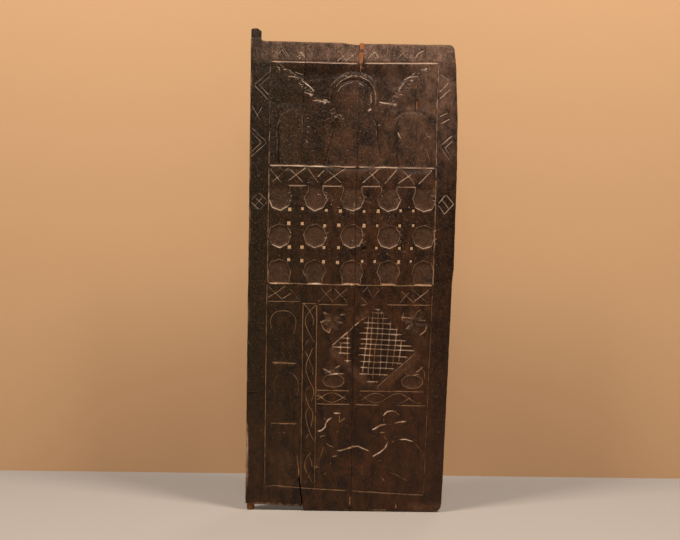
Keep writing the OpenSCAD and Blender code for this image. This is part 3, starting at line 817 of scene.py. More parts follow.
@dataclass(frozen=True)
class FrameLines:
    """The long lines that frame the fields, and the marks on both stiles."""

    def features(self) -> list[Feature]:
        """All that is cut along the frame."""
        upright = cuts(
            3.8, 1.3, 0.56, (71, 1212, 70, 1000, 70, 800), (69, 796, 68, 500, 69, 80),
            (663, 1212, 662, 1070, 657, 800))
        upright += cuts(3.4, 1.2, 0.43, (664, 1460, 663, 1218), (656, 796, 650, 610, 641, 366, 632, 60))
        upright += cuts(3.4, 1.2, 0.3, (71, 1580, 71, 1400, 70, 1218), (668, 1580, 664, 1460))
        inner = cuts(4.2, 1.5, 0.76, (197, 728, 197, 560), (246, 726, 246, 500, 246, 340))
        inner += cuts(3.8, 1.4, 0.48, (197, 556, 197, 400, 196, 300, 197, 84), (246, 336, 246, 200, 245, 74))
        level = cuts(
            4.8, 2.0, 0.85, (246, 422, 365, 421), (398, 421, 635, 421), (246, 374, 365, 373),
            (388, 373, 475, 372), (530, 372, 636, 371))
        foot = cuts(4.6, 1.8, 0.8, (72, 80, 100, 82, 200, 75, 360, 67), (377, 67, 500, 60, 632, 55))
        hinge = cuts(
            3.4, 1.4, 0.5, (15, 1500, 72, 1552), (15, 1500, 66, 1448), (34, 1500, 72, 1534),
            (34, 1500, 66, 1466), (62, 1298, 6, 1351), (62, 1298, 6, 1245), (44, 1298, 6, 1333),
            (44, 1298, 6, 1263), (35, 1123, 7, 1089), (35, 1123, 67, 1088), (39, 1058, 7, 1089),
            (39, 1058, 67, 1088), (20, 1106, 53, 1074), (51, 1105, 23, 1073))
        free = cuts(
            4, 1.6, 0.82, (670, 1480, 702, 1514), (671, 1458, 711, 1494), (680, 1295, 720, 1331),
            (692, 1284, 721, 1312), (670, 1395, 705, 1410), (675, 1370, 705, 1386), (698, 1121, 670, 1085),
            (698, 1121, 726, 1087), (694, 1051, 670, 1085), (684, 1103, 710, 1069))
        free += cuts(5, 2.2, 1.0, (694, 1051, 726, 1087), (671, 1458, 711, 1494), (681, 1296, 719, 1330))
        faint = cuts(
            3.2, 1.0, 0.36, (675, 1545, 706, 1525), (690, 1290, 716, 1255), (680, 1285, 711, 1240),
            (8, 1430, 24, 1400, 40, 1374), (14, 1372, 30, 1398, 44, 1424))
        return [*upright, *inner, *level, *foot, *hinge, *free, *faint]


@dataclass(frozen=True)
class NicheColumn:
    """The left column: two shallow niches over a plain recess, and the braid beside it."""

    upper: Places = (
        88, 519, 90, 560, 97, 600, 84, 640, 84, 668, 95, 691, 124, 704, 155, 695, 173, 670, 171, 640, 160,
        600, 174, 560, 178, 519)
    lower: Places = (
        86, 303, 90, 350, 100, 400, 90, 430, 91, 458, 101, 478, 126, 489, 158, 480, 182, 455, 185, 428, 176,
        400, 180, 350, 183, 303)
    recess: Places = (84, 88, 86, 180, 84, 270, 100, 290, 150, 288, 184, 270, 187, 180, 188, 84)

    def braid(self) -> list[Feature]:
        """The strands of the braid, from its head to its foot."""
        runs = (
            (196, 731, 221, 705, 236, 674, 234, 650), (245, 726, 210, 690, 204, 662, 218, 627, 241, 588),
            (221, 607, 207, 583), (205, 564, 224, 525, 236, 493, 234, 473), (235, 572, 223, 548, 206, 501,
            221, 458, 239, 426, 239, 403, 229, 379), (221, 437, 207, 406, 222, 363, 236, 344, 237, 324, 230,
            289), (222, 363, 208, 336, 225, 273, 241, 242), (225, 269, 210, 250),
            (222, 190, 233, 171, 236, 147), (233, 202, 217, 186, 210, 163, 212, 139, 229, 111, 243, 84),
            (232, 135, 211, 88))
        return [Cut(run, 3.8, 1.5, dust=0.62, curve=True) for run in runs]

    def features(self) -> list[Feature]:
        """All that is carved in the column."""
        return [
            Sink(self.upper, 2.0, wall=9.0, worn=0.0, top=706, soft=10),
            Sink(self.lower, 1.8, wall=9.0, worn=0.0, top=491, soft=10),
            Sink(self.recess, 1.6, wall=20.0, worn=0.0, top=292, soft=50),
            Stain((130, 180, 136, 110), 90, brown=0.35),
            Cut(
                (93, 617, 84, 649, 82, 672, 95, 696, 127, 704, 159, 695, 174, 670, 171, 640, 163, 616), 3.0,
                1.0, dust=0.42, curve=True),
            Cut(
                (103, 401, 93, 448, 114, 480, 145, 488, 173, 473, 187, 442, 182, 406), 2.8, 0.9, dust=0.34,
                curve=True),
            # the sills' pale colour is dust and painted highlight, where they face up
            Cut((88, 518, 178, 516), 7, 2.6, 0.95),
            Cut((88, 303, 150, 302, 183, 302), 5.4, 2.2, 0.75),
            *cuts(
                4.4, 1.8, 0.8, (128, 271, 142, 271), (136, 271, 135, 262), (104, 654, 108, 652),
                (174, 411, 178, 406)),
            Hollow((136, 228), (7, 38), 1.6),
            *self.braid()
        ]


@dataclass(frozen=True)
class LozengePanel:
    """The lattice lozenge with its four chip-carved rosettes."""

    left: Place = (296, 577)
    top: Place = (463, 722)
    right: Place = (606, 561)
    bottom: Place = (456, 426)

    def lattice(self) -> list[Feature]:
        """The lozenge's crossed lines, with the plain strip beside the seam left out."""
        levels = (
            (711, 450, 472), (699, 441, 484), (680, 430, 502), (662, 413, 512), (643, 414, 536),
            (625, 398, 550), (604, 400, 567), (586, 400, 582), (570, 398, 598), (547, 398, 572),
            (524, 398, 548), (503, 398, 524), (480, 398, 500), (454, 424, 468), (604, 334, 367),
            (587, 322, 368), (571, 303, 368), (550, 321, 370), (524, 345, 370))
        slope = -0.036
        out = [Cut((a, z + slope * (a - 455), b, z + slope * (b - 455)), 5.2, 2.1, 1.4) for z, a, b in levels]
        out += cuts(
            4.4, 1.7, 1.0, (431, 689, 421, 569, 410, 484), (446, 708, 440, 607, 430, 477),
            (465, 717, 462, 624, 454, 570, 447, 463), (477, 710, 475, 684), (484, 700, 478, 608, 472, 470),
            (509, 672, 503, 592, 493, 492), (531, 651, 524, 570, 516, 506), (548, 600, 543, 560, 538, 524),
            (332, 597, 332, 548), (356, 628, 357, 522))
        return out

    def petal(self, at: Place, degrees: float, long: float = 41.0, bow: float = 12.5, depth: float = 4.2,
              brown: float = 0.5) -> Sink:
        """A petal cut as a chip, with a valley along its middle.

        Args:
            at: The rosette's middle.
            degrees: Which way the petal points.
            long: Its length.
            bow: Half its breadth.
            depth: Depth of its valley.
            brown: How much of its wax is rubbed off.

        Returns:
            The petal.
        """
        a = math.radians(degrees)
        u = np.array([math.cos(a), math.sin(a)])
        v = np.array([-u[1], u[0]])
        shares = (0, 0.15, 0.35, 0.55, 0.75, 0.9, 1)
        sides = [(t, v) for t in shares[:-1]] + [(t, -v) for t in shares[:0:-1]]
        points = at + np.array(
            [u * (3 + t * long) + w * bow * math.sin(math.pi * t ** 0.85) ** 0.75 for t, w in sides])
        spine = (at + 6 * u, at + long * u)
        return Sink(points, depth, wall=11.5, worn=0.34, curve=False, spine=spine, brown=brown)

    def rosettes(self) -> list[Feature]:
        """Four rosettes: the upper ones six-petalled, the lower ones with a broad oval below."""
        upper_left, upper_right, lower_left, lower_right = (302, 672), (590, 671), (306, 480), (586, 477)
        out: list[Feature] = [self.petal(upper_left, d) for d in (142, 200, 243, 300, 350, 38)]
        out += [self.petal(upper_right, d) for d in (172, 228, 285, 345, 40, 105)]
        out += [self.petal(lower_left, d, 38, 11) for d in (152, 100, 42)]
        out += [self.petal(lower_right, d, 38, 10, 3.0) for d in (150, 95, 40)]
        for x, z in ((308, 456), (587, 455)):
            oval = [(x + 38 * math.cos(t), z + 23 * math.sin(t)) for t in np.arange(0, 6.2, 0.4)]
            out += [Sink(oval, 3.2, wall=7, worn=0.5, brown=0.5), Cut([*oval, oval[0]], 3.2, 1.0, dust=0.5)]
        out += [self.petal(upper_right, 105, brown=1.0), self.petal(upper_right, 228, brown=0.8)]
        out += cuts(
            6, 2.8, 1.4, (268, 701, 280, 693, 296, 688), (258, 661, 276, 669, 297, 669),
            (262, 657, 271, 640, 291, 626, 295, 640), (326, 688, 347, 693), (546, 684, 583, 680),
            (561, 641, 584, 664), (604, 675, 631, 674), (612, 621, 632, 637, 636, 662),
            (267, 499, 283, 493, 300, 484), (312, 498, 332, 513), (290, 475, 314, 481, 346, 481),
            (597, 487, 624, 508))
        out += cuts(
            3.6, 1.2, 0.6, (318, 668, 340, 662), (594, 688, 602, 704, 616, 710), (551, 500, 570, 497),
            (586, 478, 612, 482), (614, 510, 630, 490, 632, 464), (556, 700, 548, 684, 549, 664))
        return out

    def features(self) -> list[Feature]:
        """All that is carved in the panel."""
        return [
            Sink(
                (self.left, self.bottom, self.right, self.top), 3.2, wall=17, worn=0.1, top=726, soft=70,
                curve=False),
            *cuts(6, 3.0, 1.5, (299, 578, 330, 606, 362, 634), (362, 634, 378, 648)),
            Cut((378, 648, 400, 670), 6, 3.0, 1.2),
            Cut((400, 670, 430, 693), 6.5, 3.2, 0.5, raw=0.4),
            Stain((398, 676, 424, 698), 20, brown=1.0),
            Cut((598, 557, 530, 497, 461, 434), 3.6, 1.4, 0.55),
            Cut((478, 714, 530, 660, 598, 582), 3, 1.0, 0.2),
            Stain((302, 560, 364, 502, 434, 444), 26, brown=0.75),
            Stain((602, 543, 538, 485, 474, 430), 26, brown=0.7),
            Stain((580, 640, 612, 600), 34, brown=0.3),
            Stain((375, 640, 374, 540, 373, 400), 16, dark=0.45),
            Stain((464, 680, 482, 600, 500, 545, 450, 490), 70, dark=0.42),
            *self.rosettes(),
            *self.lattice()
        ]


@dataclass(frozen=True)
class SmallBraid:
    """The level braid over the rider."""

    low: float = 376.0
    high: float = 418.0
    pitch: float = 78.0

    def strand(self, x0: float, x1: float, side: int, dust: float) -> Cut:
        """A stretch of one strand from one place to another across."""
        mid, swing = (self.low + self.high) / 2, (self.high - self.low) / 2 - 4
        spots = np.arange(x0, x1 + 1, self.pitch / 6)
        points = [(float(x), mid + side * swing * math.cos(math.pi * (x - 303) / self.pitch)) for x in spots]
        return Cut(points, 3.8, 2.0, dust=dust)

    def features(self) -> list[Feature]:
        """All that is cut in the band."""
        return [
            self.strand(252, 364, 1, 0.9),
            self.strand(252, 364, -1, 0.9),
            self.strand(404, 500, 1, 0.8),
            self.strand(404, 632, -1, 0.7),
            self.strand(520, 590, 1, 0.6),
            Cut((250, 415, 262, 404, 274, 392), 3.8, 2.0)
        ]


@dataclass(frozen=True)
class RiderPanel:
    """Horse and rider, left standing in scooped ground."""

    horse: Places = (
        249, 266, 253, 276, 270, 281, 283, 296, 288, 317, 303, 326, 308, 342, 331, 341, 350, 318, 347, 290,
        340, 250, 338, 214, 366, 217, 400, 222, 440, 207, 456, 187, 476, 203, 497, 219, 500, 240, 542, 240,
        545, 250, 575, 251, 600, 242, 620, 212, 628, 176, 626, 96, 604, 92, 594, 150, 549, 146, 588, 112, 576,
        100, 506, 135, 497, 152, 429, 154, 421, 112, 404, 112, 398, 150, 329, 156, 286, 114, 270, 124, 300,
        186, 308, 220, 281, 237, 287, 254, 266, 256)
    rider: Places = (
        458, 186, 476, 203, 496, 219, 492, 246, 485, 258, 474, 270, 446, 278, 449, 284, 476, 295, 497, 305,
        499, 322, 482, 333, 500, 345, 528, 351, 546, 339, 540, 318, 562, 313, 561, 302, 539, 300, 540, 252,
        538, 180, 500, 164)

    def features(self) -> list[Feature]:
        """All that is carved in the panel: soft forms, and the strokes that set their edges off."""
        strong = cuts(
            6, 3.0, 1.5, (308, 342, 333, 341), (305, 325, 290, 317, 283, 305, 281, 292, 268, 280, 252, 276),
            (321, 209, 338, 210, 365, 218, 376, 223, 398, 225, 416, 217, 441, 208), (485, 332, 494, 344, 503,
            350, 514, 352, 528, 350), (444, 281, 478, 301, 498, 305), (526, 309, 545, 313, 567, 315),
            (449, 189, 474, 203, 495, 221, 502, 238), (540, 251, 567, 252, 594, 243), (472, 274, 494, 275),
            (306, 187, 327, 191))
        strong += cuts(
            5, 2.0, 1.2, (488, 264, 500, 249), (303, 168, 300, 157), (299, 150, 297, 141),
            (286, 131, 278, 121))
        weak = cuts(
            4.2, 1.5, 0.72, (278, 328, 281, 311), (331, 332, 331, 309, 354, 328), (319, 271, 329, 280),
            (260, 250, 269, 260, 284, 261), (283, 236, 296, 226, 315, 220), (277, 225, 269, 198, 258, 168),
            (528, 350, 537, 341, 547, 337), (489, 323, 488, 310), (465, 173, 482, 176), (483, 117, 495, 98))
        slight = cuts(
            3.2, 1.2, 0.38, (594, 243, 620, 214, 628, 200, 632, 184), (498, 138, 532, 128, 557, 114, 584, 98))
        return [
            Moat(self.horse, 2.2, wall=8, spread=30, worn=0.0),
            Moat(self.rider, 2.4, wall=6.5, spread=20, worn=0.0),
            *strong,
            *weak,
            *slight,
            Cut((521, 247, 519, 235), 4.5, 1.5, dust=0.2, raw=0.9),
            Chips((250, 160, 252, 128), 6, 3, 1.6, 56, 4, 0.6),
            Stain((410, 300, 424, 250), 70, dark=0.3),
            Stain((590, 10, 640, 3, 690, 14), 36, brown=0.8),
            Ridge((421, 162, 411, 150, 410, 130, 420, 116), 9, 1.3, worn=0.4),
            Ridge((480, 118, 486, 108, 492, 98), 7, 1.0, worn=0.3)
        ]


@dataclass(frozen=True)
class Checks:
    """Where the wood has dried and opened."""

    def features(self) -> list[Feature]:
        return [
            # the dark in the opened checks is painted shade
            *cuts(
                1.9, 3.4, 0, (196.5, 1649, 196, 1600, 194, 1560, 191, 1480, 188, 1420),
                (588, 1560, 587, 1500, 589, 1452, 586, 1412), dark=0.8),
            *cuts(
                1.9, 1.6, 0, (188, 1380, 186, 1300, 184, 1222), (184, 1208, 180, 1160),
                (591, 1352, 592, 1300, 590, 1258), raw=0.3),
            *cuts(6.0, 1.2, 0, (588, 1513, 588, 1488), (592, 1451, 591, 1420), raw=1.0),
            Cut((132, 690, 138, 620, 141, 540, 145, 480, 151, 446), 1.9, 1.4, 0, raw=0.35),
            Cut((151, 446, 159, 371, 166, 303, 174, 285, 180, 245, 183, 196), 2.4, 1.4, 0.3, raw=0.6),
            Cut((206.5, -24, 202, 12, 201, 34, 196, 58, 195, 80, 190, 116), 5.4, 9, 0, dark=0.85),
            Cut((191, 108, 188, 140, 182, 190), 4.0, 1.6, 0.85, raw=0.4),
            Cut((372, 58, 374, 6), 3, 1.6, 0.5, raw=0.5),
            *cuts(
                1.2, 1.6, 0, (430, 70, 431, 20), (520, 1650, 523, 1600), (303, 1648, 306, 1610),
                (610, 300, 613, 180), (30, 700, 33, 560), (690, 900, 693, 760), dark=0.7),
            *cuts(5, 1.4, 1.0, (535, 22, 535, 5), (474, 6, 478, 1))
        ]


def shaped(p: Array, marks: Marks) -> Array:
    """How deep the worn, carved face lies behind the leaf's front plane.

    Args:
        p: The face's places.
        marks: What the carving does there.

    Returns:
        One depth for each place.
    """
    sway = 0.75 + 0.45 * ripple(p, 110, 11) + 0.25 * ripple(p, 38, 12)
    field_share = np.clip((p[:, 1] - 1205) / 20, 0, 1) * np.clip((1590 - p[:, 1]) / 20, 0, 1)
    chips = scoops(p, 17, 21, 31) * field_share * (0.25 + 0.12 * marks.ground)
    plain = scoops(p, 30, 90, 33) * 0.22 * (1 - field_share)
    floor = marks.ground + marks.line - marks.lift
    return np.maximum(sway + floor - chips - plain, 0.06)


def carving() -> list[Feature]:
    parts = (
        KeyholeField, DiscField, Bands, FrameLines, NicheColumn, LozengePanel, SmallBraid, RiderPanel, Checks)
    return [feature for part in parts for feature in part().features()]


@dataclass(frozen=True)
class Hole:
    """A piercing of a plank."""

    outline: Places
    blind: bool
    mouth: float = 0.9
    depth: float = 6.5

    def loop(self) -> Array:
        """The hole's edge, running so that the wood lies to its left."""
        return anticlockwise(stepped(placed(self.outline), 6.0, True))[::-1]


def square(x: float, z: float, side: float, turn: float, squash: float) -> Places:
    """Corners of a square about a place, turned by some degrees."""
    a = math.radians(turn)
    out = []
    for sx, sz in ((-1, -1), (1, -1), (1, 1), (-1, 1)):
        dx, dz = sx * side / 2, sz * side * squash / 2
        out.append((x + dx * math.cos(a) - dz * math.sin(a), z + dx * math.sin(a) + dz * math.cos(a)))
    return out


@dataclass
class Face:
    """One face of a plank as a flat net of triangles between the plank's edge and its holes."""

    loops: list[Array]
    guides: list[Array]
    spread: Callable[[Array], Array]
    pitch: float
    seed: int
    places: Array = field(init=False)
    triangles: list[list[int]] = field(init=False)
    rims: list[list[int]] = field(init=False)

    def __post_init__(self) -> None:
        """Makes the net."""
        points, edges, count = list(self.loops), [], 0
        for loop in self.loops:
            n = len(loop)
            edges += [(count + i, count + (i + 1) % n) for i in range(n)]
            count += n
        edge_tree = tree_of([stepped(l, 2.0, True) for l in self.loops])
        for guide in self.guides:
            keep = self.clear(guide, edge_tree, 2.3)
            points.append(guide)
            edges += [(count + i, count + i + 1) for i in range(len(guide) - 1) if keep[i] and keep[i + 1]]
            count += len(guide)
        used = sorted({i for e in edges for i in e})
        at = {old: new for new, old in enumerate(used)}
        flat = np.vstack(points)[used]
        every = np.vstack((flat, self.filling(flat)))
        verts, _, faces, origins, _, _ = delaunay_2d_cdt(
            [Vector(v) for v in every], [(at[a], at[b]) for a, b in edges], [], 0, 1e-4, True)
        self.places = np.array([tuple(v) for v in verts])
        where = {old: new for new, olds in enumerate(origins) for old in olds}
        on_rim = np.zeros(len(self.places), bool)
        self.rims, start = [], 0
        for loop in self.loops:
            self.rims.append([where[start + i] for i in range(len(loop))])
            on_rim[self.rims[-1]] = True
            start += len(loop)
        triangles = np.array([tuple(f) for f in faces])
        keep = np.ones(len(triangles), bool)
        rows = np.nonzero(on_rim[triangles].all(1))[0]
        keep[rows] = self.within(self.places[triangles[rows]].mean(1))
        self.triangles = triangles[keep].tolist()

    def within(self, p: Array) -> Array:
        """Whether places lie on the face and in none of its holes."""
        ok = inside(p, self.loops[0])
        for hole in self.loops[1:]:
            rows = near(p, hole, 0.0)
            if len(rows):
                ok[rows] &= ~inside(p[rows], hole)
        return ok

    def clear(self, p: Array, tree: KDTree, gap: float) -> Array:
        """Whether places lie on the face, at least a gap away from what a tree holds."""
        ok = self.within(p)
        for i in np.nonzero(ok)[0]:
            ok[i] = tree.find((p[i, 0], p[i, 1], 0))[2] > gap
        return ok

    def filling(self, flat: Array) -> Array:
        """Places spread over the face between its lines, closer where the carving is fine."""
        rng = np.random.default_rng(self.seed)
        low, high = self.loops[0].min(0), self.loops[0].max(0)
        tree = tree_of([flat])
        out = []
        for pitch, fine in ((self.pitch, False), (self.pitch * 0.56, True)):
            grid = []
            for k, z in enumerate(np.arange(low[1], high[1], pitch * 0.87)):
                across = np.arange(low[0] + (k % 2) * pitch / 2, high[0], pitch)
                grid.append(columns(len(across), across, z))
            grid = np.vstack(grid)
            grid = grid + rng.uniform(-0.22, 0.22, grid.shape) * pitch
            chosen = self.spread(grid)
            grid = grid[chosen if fine else ~chosen]
            out.append(grid[self.clear(grid, tree, pitch * 0.42)])
        return np.vstack(out)


def tree_of(groups: Iterable[Array]) -> KDTree:
    """A search tree over groups of flat places."""
    flat = np.vstack(list(groups))
    tree = KDTree(len(flat))
    for i, (x, z) in enumerate(flat):
        tree.insert((x, z, 0), i)
    tree.balance()
    return tree


@dataclass
class Shell:
    """Vertices, faces and marks of a mesh while it is put together, in millimetres."""

    verts: list[Array] = field(default_factory=list)
    faces: list[Sequence[int]] = field(default_factory=list)
    marks: list[Array] = field(default_factory=list)
    state: list[Array] = field(default_factory=list)
    count: int = 0

    def add(self, flat: Array, depth: Array, marks: Sequence[object], state: Sequence[object]) -> int:
        """Adds vertices.

        Args:
            flat: Their places across and up.
            depth: Their places from front to back.
            marks: Dust, wear, dark and raw wood at each, or at all of them.
            state: Ground, dryness, end grain and browned wax in the same way.

        Returns:
            The number of the first one.
        """
        n = len(flat)
        moved = flat + DATUM
        self.verts.append(np.column_stack((moved[:, 0], depth, moved[:, 1])))
        self.marks.append(columns(n, *marks))
        self.state.append(columns(n, *state))
        self.count += n
        return self.count - n

    def band(self, a: Sequence[int], b: Sequence[int]) -> None:
        """Closes the strip between two rings of vertices."""
        n = len(a)
        for i in range(n):
            j = (i + 1) % n
            self.faces.append((a[i], a[j], b[j], b[i]))

    def build(self, name: str) -> Object:
        """Makes the mesh object, in metres."""
        mesh = bpy.data.meshes.new(name)
        mesh.from_pydata((np.vstack(self.verts) * MM).tolist(), [], self.faces)
        for label, values in (("marks", self.marks), ("state", self.state)):
            layer = mesh.attributes.new(label, "FLOAT_COLOR", "POINT")
            layer.data.foreach_set("color", np.vstack(values).astype(np.float32).ravel())
        mesh.validate()
        obj = bpy.data.objects.new(name, mesh)
        bpy.context.scene.collection.objects.link(obj)
        return obj


@dataclass
class Plank:
    """One carved plank of the leaf."""

    name: str
    outline: Places
    holes: list[Hole]
    seed: int
    features: list[Feature]
    sides: int = 4

    def back_depth(self, p: Array) -> Array:
        """Depth of the hewn back at places."""
        hewn = 1.5 * (1 - scoops(p, 46, 74, 51 + self.seed)) + 0.5 * (1 + ripple(p, 160, 61))
        return BACK - 0.1 - hewn

    def body(self) -> Object:
        """Puts the plank together from its two faces and its sides."""
        edge = anticlockwise(wandered(stepped(placed(self.outline), 5.0, True), 0.5))
        rims = [edge, *(h.loop() for h in self.holes)]
        inward = [sideways(r, True) for r in rims]
        round_by = [arris(edge), *(np.full(len(r), h.mouth) for r, h in zip(rims[1:], self.holes))]
        through = [0, *(n for n, h in enumerate(self.holes, 1) if not h.blind)]
        front_loops = [r + n * by[:, None] for r, n, by in zip(rims, inward, round_by)]
        back_loops = [rims[i] + inward[i] * np.minimum(round_by[i], 2.0)[:, None] for i in through]
        guides = [g for f in self.features for g in f.guides() if len(g) > 1]
        front = Face(front_loops, guides, chipped, 7.0, self.seed)
        back = Face(back_loops, [], lambda p: np.zeros(len(p), bool), 10.0, self.seed + 1)
        marks = Marks.blank(len(front.places))
        for feature in self.features:
            feature.mark(front.places, marks)
        depth = FRONT + shaped(front.places, marks)
        hind = self.back_depth(back.places)
        marks.strengthen(front.rims[0], worn=edge_wear_and_highlight(front.places[front.rims[0]]))
        shell = Shell()
        shell.add(
            front.places, depth, (marks.dust, marks.worn, marks.dark, marks.raw),
            (np.clip(marks.ground / 6, 0, 1), 0, 0, marks.brown))
        shell.faces += front.triangles
        first = shell.add(back.places, hind, (0, 0, 0, 0), (0, 1, 0, 0))
        shell.faces += [(first + c, first + b, first + a) for a, b, c in back.triangles]
        for n, rim in enumerate(rims):
            fore = front.rims[n]
            aft = back.rims[through.index(n)] if n in through else []
            end = hind[aft] if aft else depth[fore] + self.holes[n - 1].depth
            self.side(shell, rim, round_by[n], fore, [first + i for i in aft], depth[fore], end, n == 0)
        return shell.build(self.name)

    def side(self, shell: Shell, rim: Array, by: Array, fore: list[int], aft: list[int], start: Array,
             end: Array, own: bool) -> None:
        """Closes an edge of the plank, from its front rim to its back rim or to a blind hole's floor.

        Args:
            shell: The mesh under way.
            rim: The full outline of the edge.
            by: How far the front arris is rounded.
            fore: Vertices of the front rim.
            aft: Vertices of the back rim. A blind hole has none.
            start: Depths of the front rim.
            end: Depths of the back rim or the floor.
            own: Whether it is the plank's own edge, and not a hole's.
        """
        n = len(rim)
        inward = sideways(rim, True)
        worn = edge_wear_and_highlight(rim) if own else 0.25
        # the piercings' walls take painted shade, deeper where they go through
        bow, dark = (0.15, 0.0) if own else (-1.5, 0.55 if aft else 0.12)
        seamed = (seam_gap(rim) < 1.2) & (rim[:, 1] < SLIP_FOOT) & (rim[:, 1] > 2) & own
        steps = [(0.3 * by, start + 0.3 * by, worn), (0, start + by, 0.5 * worn)]
        for k in range(1, self.sides):
            level = start + by + (end - start - by) * (k / self.sides)
            dent = bow * (1 + ripple(columns(n, np.arange(n) * 5.0, level), 26, 71 + self.seed))
            steps.append((np.where(seamed, -0.3, dent), level, 0))
        if aft:
            soft = np.minimum(by, 2.0)
            steps += [(0, end - soft, 0.2), (0.3 * soft, end - 0.3 * soft, 0.3)]
        else:
            steps.append((0, end, 0))
        rings: list[Sequence[int]] = [fore]
        for inset, level, rubbed in steps:
            flat = rim + inward * columns(n, inset)
            dryness = np.clip((level - 4) / 20, 0, 1)
            end_grain = inward[:, 1] ** 2
            first = shell.add(flat, level, (0, rubbed, dark, bare(flat)), (0, dryness, end_grain, 0))
            rings.append(range(first, first + n))
        if aft:
            rings.append(aft)
        for a, b in zip(rings, rings[1:]):
            shell.band(b, a)
        if not aft:
            shell.faces.append(rings[-1][::-1])


def select_only(obj: Object) -> None:
    """Selects one object alone and makes it active."""
    bpy.ops.object.select_all(action="DESELECT")
    obj.select_set(True)
    bpy.context.view_layer.objects.active = obj


def applied(obj: Object, kind: str, **settings: object) -> None:
    """Adds a modifier and applies it.

    Args:
        obj: The object.
        kind: The modifier's type.
        **settings: Its settings.
    """
    select_only(obj)
    mod = obj.modifiers.new(kind.lower(), kind)
    for key, value in settings.items():
        setattr(mod, key, value)
    bpy.ops.object.modifier_apply(modifier=mod.name)


SEAM: Places = (
    (374, -5.4), (375, 70), (376, 200), (375, 420), (376, 626), (381, 800), (380, 1044), (385, 1380),
    (391, 1560), (395, 1650))
SEAM_GAP = 0.7

PIERCINGS: Places = (
    (145, 1062), (190, 1065), (275, 1060), (325, 1058), (410, 1058), (460, 1060), (540, 1062), (585, 1062),
    (142, 1012), (190, 1012), (270, 1005), (320, 1008), (410, 1008), (457, 1008), (537, 1008), (585, 1010),
    (145, 928), (190, 928), (268, 928), (320, 928), (411, 926), (455, 928), (537, 928), (580, 928),
    (143, 883), (190, 880), (267, 877), (317, 875), (405, 880), (450, 880), (535, 880), (578, 882))
BLIND = (411, 926)

HINGE_FOOT: Places = (
    (0.9, 17), (40, 15.5), (110, 12), (184, 8.5), (200, 7.5), (202, 20), (207.5, -2), (216, -4.4),
    (290, -5.2), (366, -4.9))
HINGE_HEAD: Places = (
    (380, 1646.5), (352, 1649), (330, 1653), (203, 1654.5), (197.6, 1654.4), (196.6, 1643), (195.7, 1654.5),
    (120, 1656), (54, 1656.4), (44, 1658.4), (39, 1662.5), (36.6, 1668), (4, 1668), (0.9, 1662), (1.1, 1400),
    (1.6, 1000), (0.9, 600), (1.4, 200))
CLOSING_FOOT: Places = (
    (430, -5.2), (520, -4.6), (600, -5.2), (650, -5.2), (668, -4.8), (680, -2.5), (688, 3), (693.5, 11),
    (695.6, 22))
CLOSING_FREE: Places = (
    (700.5, 131), (706.5, 314), (713.4, 497), (724, 800), (729.5, 858), (737.0, 1210), (737.0, 1386),
    (730, 1569), (723.5, 1634), (716.5, 1647), (706, 1650.5), (600, 1650), (500, 1651.5), (410, 1650.5))
SLIP: Places = (
    (384.5, 1653), (402.5, 1653), (401, 1600), (396.5, 1578), (392, 1561), (386.5, 1578), (385.5, 1610))


def seam_edge(side: int) -> list[Place]:
    """The seam's edge, going up: side -1 for the hinge plank, 1 for the closing plank."""
    return [(x + side * SEAM_GAP / 2, z) for x, z in SEAM]


def seam_gap(p: Array) -> Array:
    """Distance of places from the seam's line."""
    seam = np.array(SEAM)
    return np.abs(p[:, 0] - np.interp(p[:, 1], seam[:, 1], seam[:, 0]))


def edge_wear_and_highlight(p: Array) -> Array:
    """How far hands and weather have rubbed the leaf's front arris, at places along it, raised as a painted
    highlight where the left arris and the heel's arris catch the light.
    """
    uneven = 0.75 + 0.5 * ripple(p, 40, 95) + 0.3 * ripple(p, 14, 96)
    worn = np.full(len(p), 0.25)
    # painted highlight: the left arris and the heel's arris are lifted where they catch the light
    worn = np.where(p[:, 0] < 8, np.where(p[:, 1] < 300, 0.8, 0.4), worn)
    worn = np.where((p[:, 1] < 20) & (p[:, 0] < 192), 0.72, worn)
    worn = np.where((p[:, 1] < 4) & (p[:, 0] > 440) & (p[:, 0] < 500), 0.6, worn)
    worn = np.where(p[:, 1] > 1640, 0.6, worn)
    worn = np.where((seam_gap(p) < 4) & (p[:, 1] < SLIP_FOOT), 0.12, worn)
    return np.clip(worn * uneven, 0, 1)


def arris(p: Array) -> Array:
    """How far the front edge of the leaf is worn round, at places along it."""
    by = 2.4 + 1.0 * ripple(p, 60, 91)
    by = np.where(p[:, 0] < 4, 4.4 + 1.5 * ripple(p, 75, 92), by)
    by = np.where(p[:, 1] < 20, 4.2 + 1.2 * ripple(p, 33, 93), by)
    by = np.where((p[:, 0] > 640) & (p[:, 1] < 24), 4.6, by)
    by = np.where(seam_gap(p) < 2.5, np.where(p[:, 1] > 1216, 0.35, 1.1) * (1 + 0.5 * ripple(p, 30, 94)), by)
    in_check = (p[:, 0] > 196) & (p[:, 0] < 212) & (p[:, 1] < 30)
    in_head = (p[:, 0] > 194) & (p[:, 0] < 199) & (p[:, 1] > 1630)
    return np.where(in_check | in_head, 0.5, by)


def chipped(p: Array) -> Array:
    """Whether places lie on the keyhole field's chipped ground, which needs a close net."""
    return ((p > CHIPPED_LOW) & (p < CHIPPED_HIGH)).all(1)


def bare(p: Array) -> Array:
    """How far the wax has gone from the leaf's corners, down to orange wood."""
    out = np.zeros(len(p))
    for at, reach in BARE_CORNERS:
        out = np.maximum(out, 0.5 * np.clip(1.5 - np.linalg.norm(p - at, axis=1) / reach, 0, 1))
    return out


def piercings(low: float, high: float, seed: int) -> list[Hole]:
    """Square holes of the pierced field between two places across, each chopped a little out of true."""
    rng = np.random.default_rng(seed)
    out = []
    for x, z in PIERCINGS:
        if low < x < high:
            turn, side, squash = rng.uniform(-5, 5), rng.uniform(12.6, 15.2), rng.uniform(0.93, 1.1)
            out.append(Hole(square(x, z, side, turn, squash), (x, z) == BLIND))
    return out


